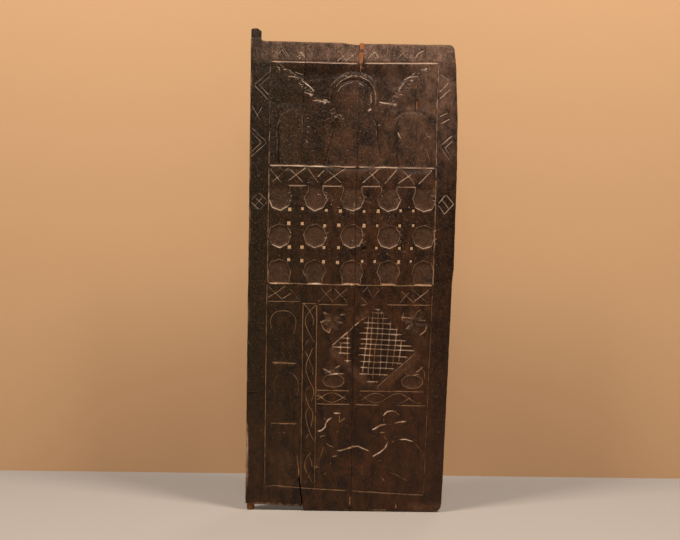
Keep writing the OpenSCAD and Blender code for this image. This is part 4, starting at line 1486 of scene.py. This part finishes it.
def tone(red: int, green: int, blue: int) -> Colour:
    """A colour from 0 to 255 a channel, as light."""
    def light(c: int) -> float:
        v = c / 255
        return v / 12.92 if v <= 0.04045 else ((v + 0.055) / 1.055) ** 2.4
    return (light(red), light(green), light(blue), 1.0)


class Tree:
    """Short calls that add nodes to a node tree and link them."""

    def __init__(self, tree: bpy.types.NodeTree) -> None:
        """Starts from an empty tree."""
        self.tree = tree
        tree.nodes.clear()

    def feed(self, node: bpy.types.Node, inputs: Inputs) -> bpy.types.Node:
        """Sets or links a node's inputs."""
        for key, value in inputs.items():
            if isinstance(value, Socket):
                self.tree.links.new(value, node.inputs[key])
            else:
                node.inputs[key].default_value = value
        return node

    def node(self, kind: str, inputs: Inputs | None = None, **settings: object) -> bpy.types.Node:
        """Adds a node.

        Args:
            kind: Its type, without the leading ShaderNode.
            inputs: Values or sockets for its inputs.
            **settings: Its own settings.

        Returns:
            The new node.
        """
        new = self.tree.nodes.new(kind if kind.startswith("Node") else "ShaderNode" + kind)
        for key, value in settings.items():
            setattr(new, key, value)
        return self.feed(new, inputs or {})

    def use(self, group: bpy.types.NodeTree, inputs: Inputs) -> bpy.types.NodeOutputs:
        """Places a node group and gives its outputs."""
        return self.feed(self.node("Group", node_tree=group), inputs).outputs

    def maths(self, operation: str, a: object, b: object = 0.0, clamp: bool = False) -> Socket:
        """A sum, difference or other result of two values."""
        return self.node("Math", {0: a, 1: b}, operation=operation, use_clamp=clamp).outputs[0]

    def times(self, a: object, b: object) -> Socket:
        """The product of two values."""
        return self.maths("MULTIPLY", a, b)

    def blend(self, share: object, a: object, b: object) -> Socket:
        """A mix of two colours."""
        made = self.node("Mix", {0: share, 6: a, 7: b}, data_type="RGBA", blend_type="MIX", clamp_factor=True)
        return made.outputs[2]

    def noise(self, where: object, scale: object, detail: float = 3.0,
              rough: float = 0.55) -> Socket:
        """Noise from about 0.2 to 0.8."""
        made = self.node("TexNoise", {"Vector": where, "Scale": scale, "Detail": detail, "Roughness": rough})
        return made.outputs[0]

    def span(self, value: object, low: float, high: float, to_low: float = 0.0,
             to_high: float = 1.0) -> Socket:
        """A value stretched from one range to another and kept inside it."""
        made = self.node("MapRange", {0: value, 1: low, 2: high, 3: to_low, 4: to_high}, clamp=True)
        return made.outputs[0]

    def stretch(self, where: object, x: float, y: float, z: float) -> Socket:
        """Places scaled by a number on each axis."""
        return self.node("Mapping", {"Vector": where, "Scale": (x, y, z)}).outputs[0]

    def bump(self, strength: float, far: float, height: object, over: object = None) -> Socket:
        """Normals of a bumpy surface, laid over others where there are any."""
        inputs: Inputs = {"Strength": strength, "Distance": far, "Height": height}
        if over is not None:
            inputs["Normal"] = over
        return self.node("Bump", inputs).outputs[0]


class Group(Tree):
    """Calls that build a shader node group, whose outputs are all single values."""

    def __init__(self, name: str, **inputs: str) -> None:
        """Starts a group with inputs of these socket types."""
        made = bpy.data.node_groups.new(name, "ShaderNodeTree")
        for label, kind in inputs.items():
            made.interface.new_socket(label, in_out="INPUT", socket_type="NodeSocket" + kind)
        super().__init__(made)
        self.given = self.node("NodeGroupInput").outputs

    def close(self, **outputs: Socket) -> bpy.types.NodeTree:
        """Gives the group its outputs and hands it over."""
        for label in outputs:
            self.tree.interface.new_socket(label, in_out="OUTPUT", socket_type="NodeSocketFloat")
        self.node("NodeGroupOutput", outputs)
        return self.tree


class Slot(Enum):
    """The record's material slots."""

    WAXED = "waxed_wood"
    AGED = "aged_wood"
    RAW = "raw_wood"
    IRON = "forged_iron"


class Effects:
    """The effects that several finishes share."""

    def __init__(self) -> None:
        """Builds each group once."""
        self.grain = self.make_grain()
        self.patches = self.make_patches()
        self.wear = self.make_wear()

    def make_grain(self) -> bpy.types.NodeTree:
        """Wood grain that runs along Z: broad figure, fine fibres and open pores."""
        t = Group("wood_grain", Vector="Vector")
        where = t.given[0]
        sway = t.node("CombineXYZ", {0: t.times(t.noise(t.stretch(where, 3, 3, 1.2), 2.2, 2), 0.05)})
        bent = t.node("VectorMath", {0: where, 1: sway.outputs[0]}, operation="ADD").outputs[0]
        return t.close(
            Figure=t.noise(t.stretch(bent, 26, 26, 1.6), 1.0, 4, 0.6),
            Fibre=t.noise(t.stretch(bent, 420, 420, 14), 1.0, 3, 0.6),
            Pores=t.span(t.noise(t.stretch(bent, 900, 900, 26), 1.0, 1), 0.60, 0.68)
        )

    def make_patches(self) -> bpy.types.NodeTree:
        """Uneven old wax: broad and small patches, facets of the blade, clouds and flecks."""
        t = Group("wax_patches", Vector="Vector")
        where = t.given[0]
        facets = t.node(
            "TexVoronoi", {"Vector": t.stretch(where, 1, 1, 0.62), "Scale": 96.0, "Smoothness": 0.35},
            feature="SMOOTH_F1")
        return t.close(
            Broad=t.span(t.noise(where, 5.5, 4, 0.6), 0.3, 0.7),
            Small=t.noise(where, 120, 4, 0.65),
            Facets=facets.outputs["Distance"],
            Cloud=t.span(t.noise(t.stretch(where, 1, 1, 0.6), 34, 5, 0.62), 0.32, 0.68),
            Flecks=t.noise(where, 250, 2, 0.7)
        )

    def make_wear(self) -> bpy.types.NodeTree:
        """Breaks a mask up so that wear and dust look uneven."""
        t = Group("broken_mask", Vector="Vector", Mask="Float", Scale="Float")
        rough = t.span(t.noise(t.given[0], t.given[2], 4, 0.65), 0.25, 0.75, 0.1, 0.8)
        return t.close(Mask=t.span(t.maths("SUBTRACT", t.times(t.given[1], 2.0), rough), 0.0, 0.9))


class Finish(Tree):
    """Calls that build a material, with what every finish of this object starts from."""

    def __init__(self, name: str) -> None:
        """Starts a material whose patterns follow the object's own coordinates."""
        self.made = bpy.data.materials.new(name)
        self.made.use_nodes = True
        super().__init__(self.made.node_tree)
        self.where = self.node("TexCoord").outputs["Object"]

    def split(self, attribute: str) -> tuple[Socket, ...]:
        """The red, green, blue and alpha values of a colour attribute."""
        held = self.node("Attribute", attribute_name=attribute).outputs
        return (*self.node("SeparateColor", {0: held["Color"]}).outputs, held["Alpha"])

    def close(self, **inputs: object) -> bpy.types.Material:
        """Puts the shader on and hands the material over. Underscores stand for spaces in socket names."""
        named = {label.replace("_", " "): value for label, value in inputs.items()}
        self.node("OutputMaterial", {0: self.node("BsdfPrincipled", named).outputs[0]})
        return self.made


@dataclass(frozen=True)
class WaxedWood:
    """Hard dark wood under old wax: dust in the cuts, rubbed arrises, dry sides and back; painted sheen on
    the head border, painted glints among the specks, painted highlights on some arrises, rims and sills, and
    painted shade in the sunk ground, deep grooves, checks and piercings.
    """

    dark: Colour = tone(26, 14, 5)
    warm: Colour = tone(70, 40, 18)
    mossy: Colour = tone(36, 27, 11)
    reddish: Colour = tone(62, 32, 14)
    # painted sheen: the pale, greyish tone laid over the head border and the upper middle
    pale: Colour = tone(142, 108, 90)
    browned: Colour = tone(98, 64, 38)
    tan: Colour = tone(152, 112, 74)
    # whitish tone: the thickest dust, and painted highlight on the rubbed arrises and on lines high up
    dust_and_highlight: Colour = tone(216, 190, 172)
    # pale specks: small chips, and painted glints that grow denser higher up
    chip_and_glint: Colour = tone(176, 150, 132)
    rubbed: Colour = tone(136, 100, 72)
    bare: Colour = tone(150, 92, 44)
    # painted shade in deep grooves, opened checks and piercing walls, and the colour of darker streaks
    shade_and_dark_stain: Colour = tone(12, 8, 5)
    dry: Colour = tone(118, 92, 70)
    end: Colour = tone(86, 64, 46)

    def build(self, effects: Effects) -> bpy.types.Material:
        """Makes the material."""
        t = Finish("waxed_wood")
        across, _, up = t.node("SeparateXYZ", {0: t.where}).outputs
        dusted, worn, shade_and_dark_stain_share, raw = t.split("marks")
        sunk, dryness, end_grain, browned = t.split("state")
        figure, fibre, pores = t.use(effects.grain, {"Vector": t.where})
        _, small, facets, cloud, flecks = t.use(effects.patches, {"Vector": t.where})
        mixed = t.maths("ADD", t.times(figure, 0.5), t.times(cloud, 0.5))
        base = t.blend(t.span(mixed, 0.3, 0.72), self.dark, self.warm)
        left = t.times(t.span(across, 0.36, 0.0, 0.0, 0.85), t.span(up, 0.1, 0.6, 0.4, 1.0))
        right = t.times(t.span(across, 0.3, 0.5, 0.0, 0.45), t.span(up, 0.9, 0.4))
        # head and shoulder say where the painted sheen falls: on the head border, stronger to the right, and
        # on the upper middle
        head = t.times(t.span(up, 1.584, 1.597, 0.0, 0.75), t.span(across, 0.0, 0.5, 0.4, 1.0))
        shoulder = t.times(t.span(up, 1.1, 1.5, 0.0, 0.42), t.span(across, 0.3, 0.6))
        hinge_stile = t.times(t.span(across, 0.06, 0.045, 0.0, 0.4), t.span(up, 0.8, 1.2))
        free_stile = t.times(t.span(across, 0.636, 0.65, 0.0, 0.45), t.span(up, 1.3, 1.1))
        base = t.blend(left, base, self.mossy)
        base = t.blend(right, base, self.reddish)
        base = t.blend(t.maths("MAXIMUM", hinge_stile, free_stile), base, self.dark)
        # painted sheen, broken up by clouds
        painted_sheen_share = t.times(t.maths("MAXIMUM", head, shoulder), t.span(cloud, 0.2, 0.9, 0.25, 1.0))
        base = t.blend(painted_sheen_share, base, self.pale)
        base = t.blend(t.span(small, 0.5, 0.72, 0.0, 0.55), base, self.warm)
        mottled = t.times(t.span(cloud, 0.0, 1.0, 0.5, 1.0), t.span(small, 0.35, 0.65, 0.35, 1.0))
        base = t.blend(t.times(browned, mottled), base, self.browned)
        # specks of small chips and painted glints, more of them higher up and on the head
        chip_and_glint_specks = t.span(t.maths("ADD", flecks, t.times(head, 0.07)), 0.62, 0.72)
        base = t.blend(t.times(chip_and_glint_specks, t.span(up, 0.3, 1.5, 0.2, 0.6)), base, self.chip_and_glint)
        base = t.blend(t.times(pores, 0.55), base, self.dark)
        # painted shade: darker with the depth of the sunk ground
        base = t.blend(t.times(sunk, 0.3), base, self.dark)
        rub_and_highlight = t.use(effects.wear, {"Vector": t.where, "Mask": worn, "Scale": 90.0})[0]
        dust = t.use(effects.wear, {"Vector": t.where, "Mask": t.times(dusted, 1.7), "Scale": 60.0})[0]
        # rubbed arrises, pale where worn hardest; on the left arris and the heel that pale is a painted
        # highlight
        polish_and_highlight = t.blend(t.span(worn, 0.7, 1.0, 0.0, 0.6), self.rubbed, self.dust_and_highlight)
        base = t.blend(t.times(rub_and_highlight, 0.8), base, polish_and_highlight)
        # dust turns whiter where it is thickest, and higher up the face as a painted highlight
        whitened = t.maths("MAXIMUM", t.span(dusted, 0.7, 1.0), t.span(up, 0.7, 1.4, 0.0, 0.55))
        base = t.blend(t.times(dust, 0.9), base, t.blend(whitened, self.tan, self.dust_and_highlight))
        # painted shade and darker streaks, from the dark mark
        base = t.blend(shade_and_dark_stain_share, base, self.shade_and_dark_stain)
        open_wood = t.use(effects.wear, {"Vector": t.where, "Mask": raw, "Scale": 80.0})[0]
        base = t.blend(open_wood, base, self.bare)
        dried = t.blend(t.span(fibre, 0.35, 0.65), self.dry, self.end)
        base = t.blend(t.times(dryness, 0.9), base, dried)
        base = t.blend(t.times(end_grain, 0.5), base, self.end)
        matt = t.maths("MAXIMUM", t.maths("MAXIMUM", dust, open_wood), dryness)
        matt = t.maths("MAXIMUM", matt, t.times(browned, 0.8))
        rough = t.maths("ADD", t.span(small, 0.3, 0.7, 0.24, 0.5), t.times(matt, 0.36), True)
        fine = t.maths("SUBTRACT", t.times(fibre, 0.5), t.times(pores, 0.5))
        fine = t.maths("ADD", fine, t.times(small, 0.9))
        faceted = t.bump(0.5, 0.0022, facets)
        return t.close(
            Base_Color=base, Roughness=rough, Normal=t.bump(0.5, 0.0009, fine, faceted), IOR=1.46,
            Specular_IOR_Level=0.27)


@dataclass(frozen=True)
class DryWood:
    """Wood that was never waxed: the ledges and the slip."""

    name: str
    light: Colour
    deep: Colour
    across: bool
    stain: float = 0.5
    knots: tuple[float, ...] = ()

    def build(self, effects: Effects) -> bpy.types.Material:
        """Makes the material."""
        t = Finish(self.name)
        turn = (0, math.pi / 2, 0) if self.across else (0, 0, 0)
        along = t.node("Mapping", {"Vector": t.where, "Rotation": turn}).outputs[0]
        figure, fibre, pores = t.use(effects.grain, {"Vector": along})
        broad, small, *_ = t.use(effects.patches, {"Vector": t.where})
        base = t.blend(t.span(figure, 0.3, 0.7), self.deep, self.light)
        base = t.blend(t.span(fibre, 0.4, 0.7, 0.0, 0.5), base, self.deep)
        base = t.blend(t.times(broad, self.stain), base, tone(44, 33, 26))
        base = t.blend(t.times(pores, 0.6), base, tone(30, 22, 16))
        up = t.node("SeparateXYZ", {0: t.where}).outputs[2]
        for level in self.knots:
            off = t.maths("ABSOLUTE", t.maths("SUBTRACT", up, level))
            base = t.blend(t.span(off, 0.008, 0.003, 0.0, 0.8), base, tone(58, 30, 14))
        height = t.maths("SUBTRACT", fibre, t.times(pores, 0.6))
        return t.close(
            Base_Color=base, Roughness=t.span(small, 0.3, 0.7, 0.62, 0.85), Normal=t.bump(0.6, 0.001, height))


@dataclass(frozen=True)
class ForgedIron:
    """Hand-forged iron, brown with age and rubbed bright where it stands proud."""

    scale: Colour = tone(46, 35, 27)
    rust: Colour = tone(78, 48, 30)
    bright: Colour = tone(98, 80, 64)

    def build(self, effects: Effects) -> bpy.types.Material:
        """Makes the material."""
        t = Finish("forged_iron")
        broad = t.use(effects.patches, {"Vector": t.stretch(t.where, 9, 9, 9)})[0]
        fine = t.noise(t.where, 900, 4, 0.7)
        rubbed = t.times(t.span(broad, 0.5, 0.9), t.span(fine, 0.3, 0.6))
        base = t.blend(rubbed, t.blend(t.span(fine, 0.42, 0.62), self.scale, self.rust), self.bright)
        return t.close(
            Base_Color=base,
            Roughness=t.span(fine, 0.3, 0.7, 0.42, 0.72),
            Metallic=t.span(rubbed, 0.0, 1.0, 0.45, 0.95),
            Normal=t.bump(0.5, 0.0005, fine)
        )


def primitive(kind: str, **place: object) -> Object:
    """Adds a mesh primitive, such as a cube, with nothing else selected."""
    bpy.ops.object.select_all(action="DESELECT")
    getattr(bpy.ops.mesh, f"primitive_{kind}_add")(**place)
    return bpy.context.active_object


def pick_faces(obj: Object, wanted: Callable[[bpy.types.MeshPolygon], bool]) -> None:
    """Goes into edit mode with the wanted faces selected.

    Args:
        obj: The active object.
        wanted: Says of each face whether it is wanted.
    """
    bpy.ops.object.mode_set(mode="EDIT")
    bpy.ops.mesh.select_mode(type="FACE")
    bpy.ops.mesh.select_all(action="DESELECT")
    bpy.ops.object.mode_set(mode="OBJECT")
    for face in obj.data.polygons:
        face.select = bool(wanted(face))
    bpy.ops.object.mode_set(mode="EDIT")


def drawn_out(x: float, y: float = 0.0) -> None:
    """Extrudes the selected faces by some millimetres."""
    bpy.ops.mesh.extrude_region_move(TRANSFORM_OT_translate={"value": (x * MM, y * MM, 0)})


def settle(obj: Object) -> None:
    """Ends edit mode and moves the object's place, turn and scale into its mesh."""
    if bpy.context.mode != "OBJECT":
        bpy.ops.object.mode_set(mode="OBJECT")
    select_only(obj)
    bpy.ops.object.transform_apply(location=True, rotation=True, scale=True)


def roughened(obj: Object, size: float, depth: float) -> None:
    """Makes a surface uneven, as a hammer or an adze leaves it. No place of it moves outwards.

    Args:
        obj: The object.
        size: Distance between hollows, in metres.
        depth: Their depth, in metres.
    """
    cloud = bpy.data.textures.new("unevenness", "CLOUDS")
    cloud.noise_scale = size
    cloud.noise_depth = 1
    applied(obj, "DISPLACE", texture=cloud, strength=depth, mid_level=1.0, texture_coords="LOCAL")


def joined(parts: Sequence[Object], name: str) -> Object:
    """Joins objects into one named object."""
    bpy.ops.object.select_all(action="DESELECT")
    for part in parts:
        part.select_set(True)
    bpy.context.view_layer.objects.active = parts[0]
    if len(parts) > 1:
        bpy.ops.object.join()
    parts[0].name = name
    parts[0].data.name = name
    return parts[0]


def smoothed(obj: Object, degrees: float) -> None:
    """Shades an object smooth except across sharp angles."""
    select_only(obj)
    bpy.ops.object.shade_smooth_by_angle(angle=math.radians(degrees))


def dressed(obj: Object, material: bpy.types.Material, node: str) -> None:
    """Gives a finished piece its material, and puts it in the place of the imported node.

    Args:
        obj: The piece.
        material: Its material.
        node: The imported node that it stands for.
    """
    obj.data.materials.clear()
    obj.data.materials.append(material)
    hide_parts(node)
    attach(obj, "root")
    LOG.info("%s: %d faces", obj.name, len(obj.data.polygons))


@dataclass(frozen=True)
class Pivot:
    """A round pivot that grows out of the hinge plank."""

    radius: float
    foot: float
    head: float
    up: int
    ragged: float

    def build(self) -> Object:
        """Shapes the pivot from a cylinder."""
        middle = (self.foot + self.head) / 2
        obj = primitive(
            "cylinder", vertices=44, radius=self.radius * MM, depth=(self.head - self.foot) * MM, location=(0,
            0, (middle + DATUM[1]) * MM))
        pick_faces(obj, lambda f: f.normal.z * self.up > 0.9)
        bpy.ops.mesh.bevel(offset=3.2 * MM, segments=4, profile=0.5)
        bpy.ops.object.mode_set(mode="OBJECT")
        pick_faces(obj, lambda f: abs(f.normal.z) < 0.2 and f.area > 1e-5)
        bpy.ops.mesh.subdivide(number_cuts=7, quadcorner="INNERVERT")
        settle(obj)
        if self.up > 0:
            pick_faces(obj, lambda f: True)
            bpy.ops.mesh.bisect(
                plane_co=(self.radius * 0.45 * MM, 0, (self.head + DATUM[1]) * MM),
                plane_no=(0.6, -0.12, 0.8), use_fill=True, clear_outer=True)
            settle(obj)
        applied(obj, "TRIANGULATE")
        roughened(obj, 0.012, self.ragged * MM)
        return obj


@dataclass
class Leaf:
    """The leaf's two carved planks, the pivots included."""

    effects: Effects

    def build(self) -> None:
        """Builds and dresses both planks."""
        finish = WaxedWood().build(self.effects)
        features = carving()
        features.append(Sink(SLIP, 10.0, wall=1.0, worn=0.2, curve=False))
        hinge = Plank(
            "hinge_plank_carved", [*HINGE_FOOT, *seam_edge(-1), *HINGE_HEAD], piercings(0, 384, 5), 1,
            features)
        body = hinge.body()
        top = Pivot(18.7, 1630, 1701.5, 1, 0.5).build()
        foot = Pivot(13.8, -5.4, 40, -1, 0.5).build()
        for other in (top, foot):
            applied(body, "BOOLEAN", operation="UNION", solver="MANIFOLD", object=other)
            bpy.data.objects.remove(other)
        self.mark_pivots(body)
        smoothed(body, 38)
        dressed(body, finish, "hinge_plank")
        closing = Plank(
            "closing_plank_carved", [*CLOSING_FOOT, *CLOSING_FREE, *seam_edge(1)[::-1]],
            piercings(384, 800, 6), 2, features)
        body = closing.body()
        smoothed(body, 38)
        dressed(body, finish, "closing_plank")

    def mark_pivots(self, body: Object) -> None:
        """Sets wear and bare wood on the two pivots."""
        spots = np.empty(len(body.data.vertices) * 3)
        body.data.vertices.foreach_get("co", spots)
        spots = spots.reshape(-1, 3) / MM
        for label, top, foot in (("marks", (0, 0.1, 0.2, 0), (0, 0.3, 0.1, 0.45)),
                                 ("state", (0, 0, 0, 0), (0, 0, 0, 0))):
            layer = body.data.attributes[label]
            data = np.empty(len(spots) * 4, np.float32)
            layer.data.foreach_get("color", data)
            data = data.reshape(-1, 4)
            data[spots[:, 2] > 1664] = top
            data[(spots[:, 2] < 20) & (spots[:, 0] < 15)] = foot
            layer.data.foreach_set("color", data.ravel())


@dataclass
class Ledge:
    """A ledge across the back of the planks, hewn from one board."""

    node: str
    corner: float = 6.0

    def build(self, material: bpy.types.Material) -> None:
        """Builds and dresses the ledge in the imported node's own place."""
        low, high = (np.array(c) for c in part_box(self.node))
        low, high = low + (0.5 * MM, -1.2 * MM, 0.5 * MM), high - 0.5 * MM
        obj = primitive("cube", size=1, location=tuple((low + high) / 2), scale=tuple(high - low))
        settle(obj)
        bpy.ops.object.mode_set(mode="EDIT")
        bpy.ops.mesh.select_mode(type="EDGE")
        bpy.ops.mesh.select_all(action="DESELECT")
        bpy.ops.object.mode_set(mode="OBJECT")
        verts = obj.data.vertices
        for edge in obj.data.edges:
            a, b = (verts[i].co for i in edge.vertices)
            edge.select = bool(abs(a.x - b.x) > 0.1 and a.y > (low[1] + high[1]) / 2)
        bpy.ops.object.mode_set(mode="EDIT")
        bpy.ops.mesh.bevel(offset=self.corner * MM, segments=2, profile=0.6)
        settle(obj)
        applied(obj, "REMESH", mode="VOXEL", voxel_size=4.5 * MM)
        roughened(obj, 0.045, 1.6 * MM)
        roughened(obj, 0.009, 0.5 * MM)
        obj.name = self.node + "_hewn"
        smoothed(obj, 50)
        dressed(obj, material, self.node)


@dataclass
class Ironwork:
    """Small forged pieces of one kind, driven into the wood."""

    node: str
    places: Sequence[tuple[float, ...]]
    SHARP = 42.0

    def forge(self, index: int, x: float, z: float, depth: float = 0.6) -> Object:
        """Makes one piece.

        Args:
            index: Its number, which sets how it was struck.
            x: Its place across.
            z: Its place up.
            depth: How far the wood's face lies behind the front plane there.

        Returns:
            The piece.
        """
        raise NotImplementedError

    def build(self, material: bpy.types.Material) -> None:
        """Builds and dresses all of the pieces as one."""
        obj = joined([self.forge(i, *place) for i, place in enumerate(self.places)], self.node + "_forged")
        smoothed(obj, self.SHARP)
        dressed(obj, material, self.node)


@dataclass
class Nails(Ironwork):
    """Forged nails: hammered heads and, through a ledge, points clenched flush, short of a stop."""

    stop: float = 0.0
    clench: float = 22.0
    head_r: float = 5.6
    head_h: float = 1.6
    shank: float = 5.0
    end: float = 47.8

    def forge(self, index: int, x: float, z: float, depth: float = 0.6) -> Object:
        """Makes one nail from a cylinder and a bar, as the base class says."""
        rng = np.random.default_rng(100 + index)
        at = np.array([x + DATUM[0], FRONT + depth, z + DATUM[1]])
        head = primitive(
            "cylinder", vertices=14, radius=self.head_r * MM, depth=self.head_h * MM,
            location=tuple((at + (0, -self.head_h / 2 + 0.4, 0)) * MM), rotation=(math.pi / 2, 0, 0))
        settle(head)
        pick_faces(head, lambda f: f.normal.y < -0.9)
        bpy.ops.mesh.inset(thickness=self.head_r * 0.3 * MM)
        bpy.ops.transform.translate(value=(0, -0.45 * MM, 0))
        bpy.ops.mesh.inset(thickness=self.head_r * 0.3 * MM)
        bpy.ops.transform.translate(value=tuple(rng.uniform(-0.4, 0.4, 3) * (MM, 0, MM)))
        settle(head)
        for v in head.data.vertices:
            v.co += Vector(rng.uniform(-0.3, 0.3, 3) * (MM, 0.3 * MM, MM))
        half = self.shank / 2
        low = at + (-half, -0.2, -half)
        high = np.array([at[0] + half, self.end, at[2] + half])
        shank = primitive(
            "cube", size=1, location=tuple((low + high) / 2 * MM), scale=tuple((high - low) * MM))
        settle(shank)
        if self.clench:
            pick_faces(shank, lambda f: True)
            bpy.ops.mesh.bisect(plane_co=(0, (self.end - 2.6) * MM, 0), plane_no=(0, 1, 0))
            settle(shank)
            pick_faces(shank, lambda f: f.normal.x > 0.9 and f.center.y > (self.end - 2.5) * MM)
            far = min(self.clench, self.stop - at[0])
            drawn_out(far * 0.55)
            drawn_out(far * 0.35)
            bpy.ops.transform.resize(value=(1, 0.5, 0.4))
            settle(shank)
        return joined([head, shank], self.node + "_forged")


@dataclass
class Staples(Ironwork):
    """Forged staples, bars with both ends turned into the wood."""

    span: float
    width: float
    leg: float
    side: int
    SHARP = 45.0

    def forge(self, index: int, x: float, z: float, depth: float = 0.4) -> Object:
        """Makes one staple from a bar, as the base class says."""
        rng = np.random.default_rng(200 + index)
        w = self.width
        middle = (BACK if self.side > 0 else FRONT + depth) + self.side * w / 2
        obj = primitive(
            "cube", size=1, location=((x + DATUM[0]) * MM, middle * MM, (z + DATUM[1]) * MM),
            scale=((self.span - 2 * w) * MM, w * MM, w * MM))
        settle(obj)
        for end in (-1, 1):
            pick_faces(obj, lambda f: f.normal.x * end > 0.9)
            drawn_out(end * w)
            settle(obj)
            edge = (x + DATUM[0] + end * (self.span / 2 - w)) * MM
            pick_faces(obj, lambda f: f.normal.y * self.side < -0.9 and (f.center.x - edge) * end > 0)
            drawn_out(0, -self.side * self.leg)
            settle(obj)
        applied(obj, "BEVEL", width=0.22 * w * MM, segments=2)
        applied(obj, "SUBSURF", levels=1, render_levels=1, subdivision_type="SIMPLE")
        for v in obj.data.vertices:
            v.co.z += 0.5 * MM * math.sin(v.co.x / (0.4 * self.span * MM) + rng.uniform(0, 0.2))
        roughened(obj, 0.006, 0.5 * MM)
        return obj


@dataclass
class Slip:
    """The bare slip of wood let into the head of the seam."""

    depth: float = 9.5

    def build(self, material: bpy.types.Material) -> None:
        """Builds and dresses the slip, split off a billet and knotted near its foot."""
        low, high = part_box("seam_slip")
        foot, head = low[2], high[2]
        obj = primitive(
            "cube", size=1, location=((393.5 + DATUM[0]) * MM, (FRONT + 0.8 + self.depth / 2) * MM,
            (foot + head) / 2), scale=(15.5 * MM, self.depth * MM, head - foot - 1.5 * MM))
        settle(obj)
        pick_faces(obj, lambda f: abs(f.normal.z) < 0.5)
        bpy.ops.mesh.subdivide(number_cuts=11, quadcorner="INNERVERT")
        settle(obj)
        middle = (393.5 + DATUM[0]) * MM
        for v in obj.data.vertices:
            t = (v.co.z - foot) / (head - foot)
            knot = 1 - 0.3 * math.exp(-((t - 0.42) / 0.08) ** 2)
            taper = min(1.0, 0.28 + 2.6 * t) * (1.12 - 0.1 * t) * knot
            drift = (2.2 * t - 1.0) * MM + 0.5 * MM * math.sin(9 * t)
            v.co.x = middle + (v.co.x - middle) * taper + drift
            v.co.y += 0.9 * MM * (1 - t) * (1 if v.co.y < FRONT * MM * 0.8 else 0)
        applied(obj, "BEVEL", width=0.8 * MM, segments=2)
        roughened(obj, 0.008, 0.7 * MM)
        obj.name = "seam_slip_split"
        smoothed(obj, 35)
        dressed(obj, material, "seam_slip")


@dataclass
class Studio:
    """Camera, lamps, floor and wall."""

    distance: float = 4.0
    lens: float = 59.8
    aim: tuple[float, float] = (0.3076, 0.854)
    roll: float = math.radians(-0.7)
    wall_y: float = 0.7

    def build(self) -> None:
        """Sets up everything that isn't the door."""
        for name in ("Cube", "Light", "Camera"):
            if name in bpy.data.objects:
                bpy.data.objects.remove(bpy.data.objects[name])
        self.camera()
        self.ground()
        self.lamps()
        bpy.context.scene.view_settings.view_transform = "Standard"

    def camera(self) -> None:
        """A camera square to the carved face."""
        data = bpy.data.cameras.new("camera")
        data.lens = self.lens
        data.sensor_width = 36
        data.clip_start = 0.05
        obj = bpy.data.objects.new("camera", data)
        obj.location = (self.aim[0], FRONT * MM - self.distance, self.aim[1])
        obj.rotation_euler = (math.pi / 2, self.roll, 0)
        bpy.context.scene.collection.objects.link(obj)
        bpy.context.scene.camera = obj

    def ground(self) -> None:
        """A pale floor, and a pale wall that only camera rays from the front meet."""
        floor = primitive("plane", size=14, location=(self.aim[0], self.wall_y - 7, -0.0005))
        floor.name = "floor"
        floor.data.materials.append(Finish("pale_floor").close(Base_Color=tone(186, 172, 162), Roughness=0.9))
        wall = primitive(
            "plane", size=14, location=(self.aim[0], self.wall_y, 3), rotation=(math.pi / 2, 0, 0))
        wall.name = "wall"
        t = Finish("pale_wall")
        shader = t.node("BsdfDiffuse", {"Color": tone(208, 166, 126)})
        clear = t.node("BsdfTransparent")
        path = t.node("LightPath")
        facing = t.node("NewGeometry").outputs["Backfacing"]
        seen = t.times(path.outputs["Is Camera Ray"], t.maths("SUBTRACT", 1.0, facing))
        mix = t.node("MixShader", {0: seen, 1: clear.outputs[0], 2: shader.outputs[0]})
        t.node("OutputMaterial", {0: mix.outputs[0]})
        wall.data.materials.append(t.made)

    def lamps(self) -> None:
        """Two soft lamps high above the front, a weaker one on the head, one low behind, and a pale world."""
        for name, at, size, power in (("lamp_left", (-2.0, -1.9, 4.9), 1.3, 178.0),
                                      ("lamp_right", (2.6, -1.9, 4.9), 1.3, 178.0),
                                      ("lamp_head", (0.36, -3.9, 3.2), 0.9, 21.0),
                                      ("lamp_back", (1.7, 4.0, 0.7), 1.2, 95.0)):
            data = bpy.data.lights.new(name, "AREA")
            data.shape = "SQUARE"
            data.size = size
            data.energy = power
            data.color = (1.0, 0.93, 0.83)
            obj = bpy.data.objects.new(name, data)
            obj.visible_glossy = name != "lamp_back"
            obj.location = at
            aim = Vector((self.aim[0], 0, 0.9)) - Vector(at)
            obj.rotation_euler = aim.to_track_quat("-Z", "Y").to_euler()
            bpy.context.scene.collection.objects.link(obj)
        world = bpy.data.worlds.new("studio")
        world.use_nodes = True
        t = Tree(world.node_tree)
        back = t.node("Background", {"Color": (0.95, 0.92, 0.88, 1), "Strength": 0.14})
        t.node("OutputWorld", {0: back.outputs[0]})
        bpy.context.scene.world = world


def main() -> None:
    """Builds the door leaf and its studio."""
    logging.basicConfig(level=logging.INFO, format="%(message)s")
    Studio().build()
    effects = Effects()
    Leaf(effects).build()
    aged = DryWood("aged_wood", tone(112, 86, 62), tone(66, 48, 34), True).build(effects)
    raw = DryWood(
        "raw_wood", tone(206, 122, 58), tone(142, 76, 28), False, 0.4, (1.582, 1.631)).build(effects)
    iron = ForgedIron().build(effects)
    Ledge("upper_ledge").build(aged)
    Ledge("lower_ledge").build(aged)
    Nails("upper_ledge_nails", [(35, 1177), (351, 1177), (411, 1177), (663, 1177)], stop=667).build(iron)
    Nails(
        "lower_ledge_nails", [(55, 277), (345, 277, 2.4), (405, 277, 2.4), (683, 277), (178, 405), (406, 405),
        (673, 402)], stop=681).build(iron)
    Staples(
        "seam_staples", [(375, 130), (378.5, 770), (387, 1500)], span=64, width=5, leg=18, side=1).build(iron)
    Staples("stile_staple", [(23, 414)], span=28, width=3, leg=14, side=-1).build(iron)
    Nails(
        "stile_nails", [(35, 1580), (10, 1545), (10, 1493), (52, 201)], clench=0, head_r=3.9, head_h=1.3,
        shank=2.6, end=5.0).build(iron)
    Slip().build(raw)


if __name__ == "__main__":
    main()
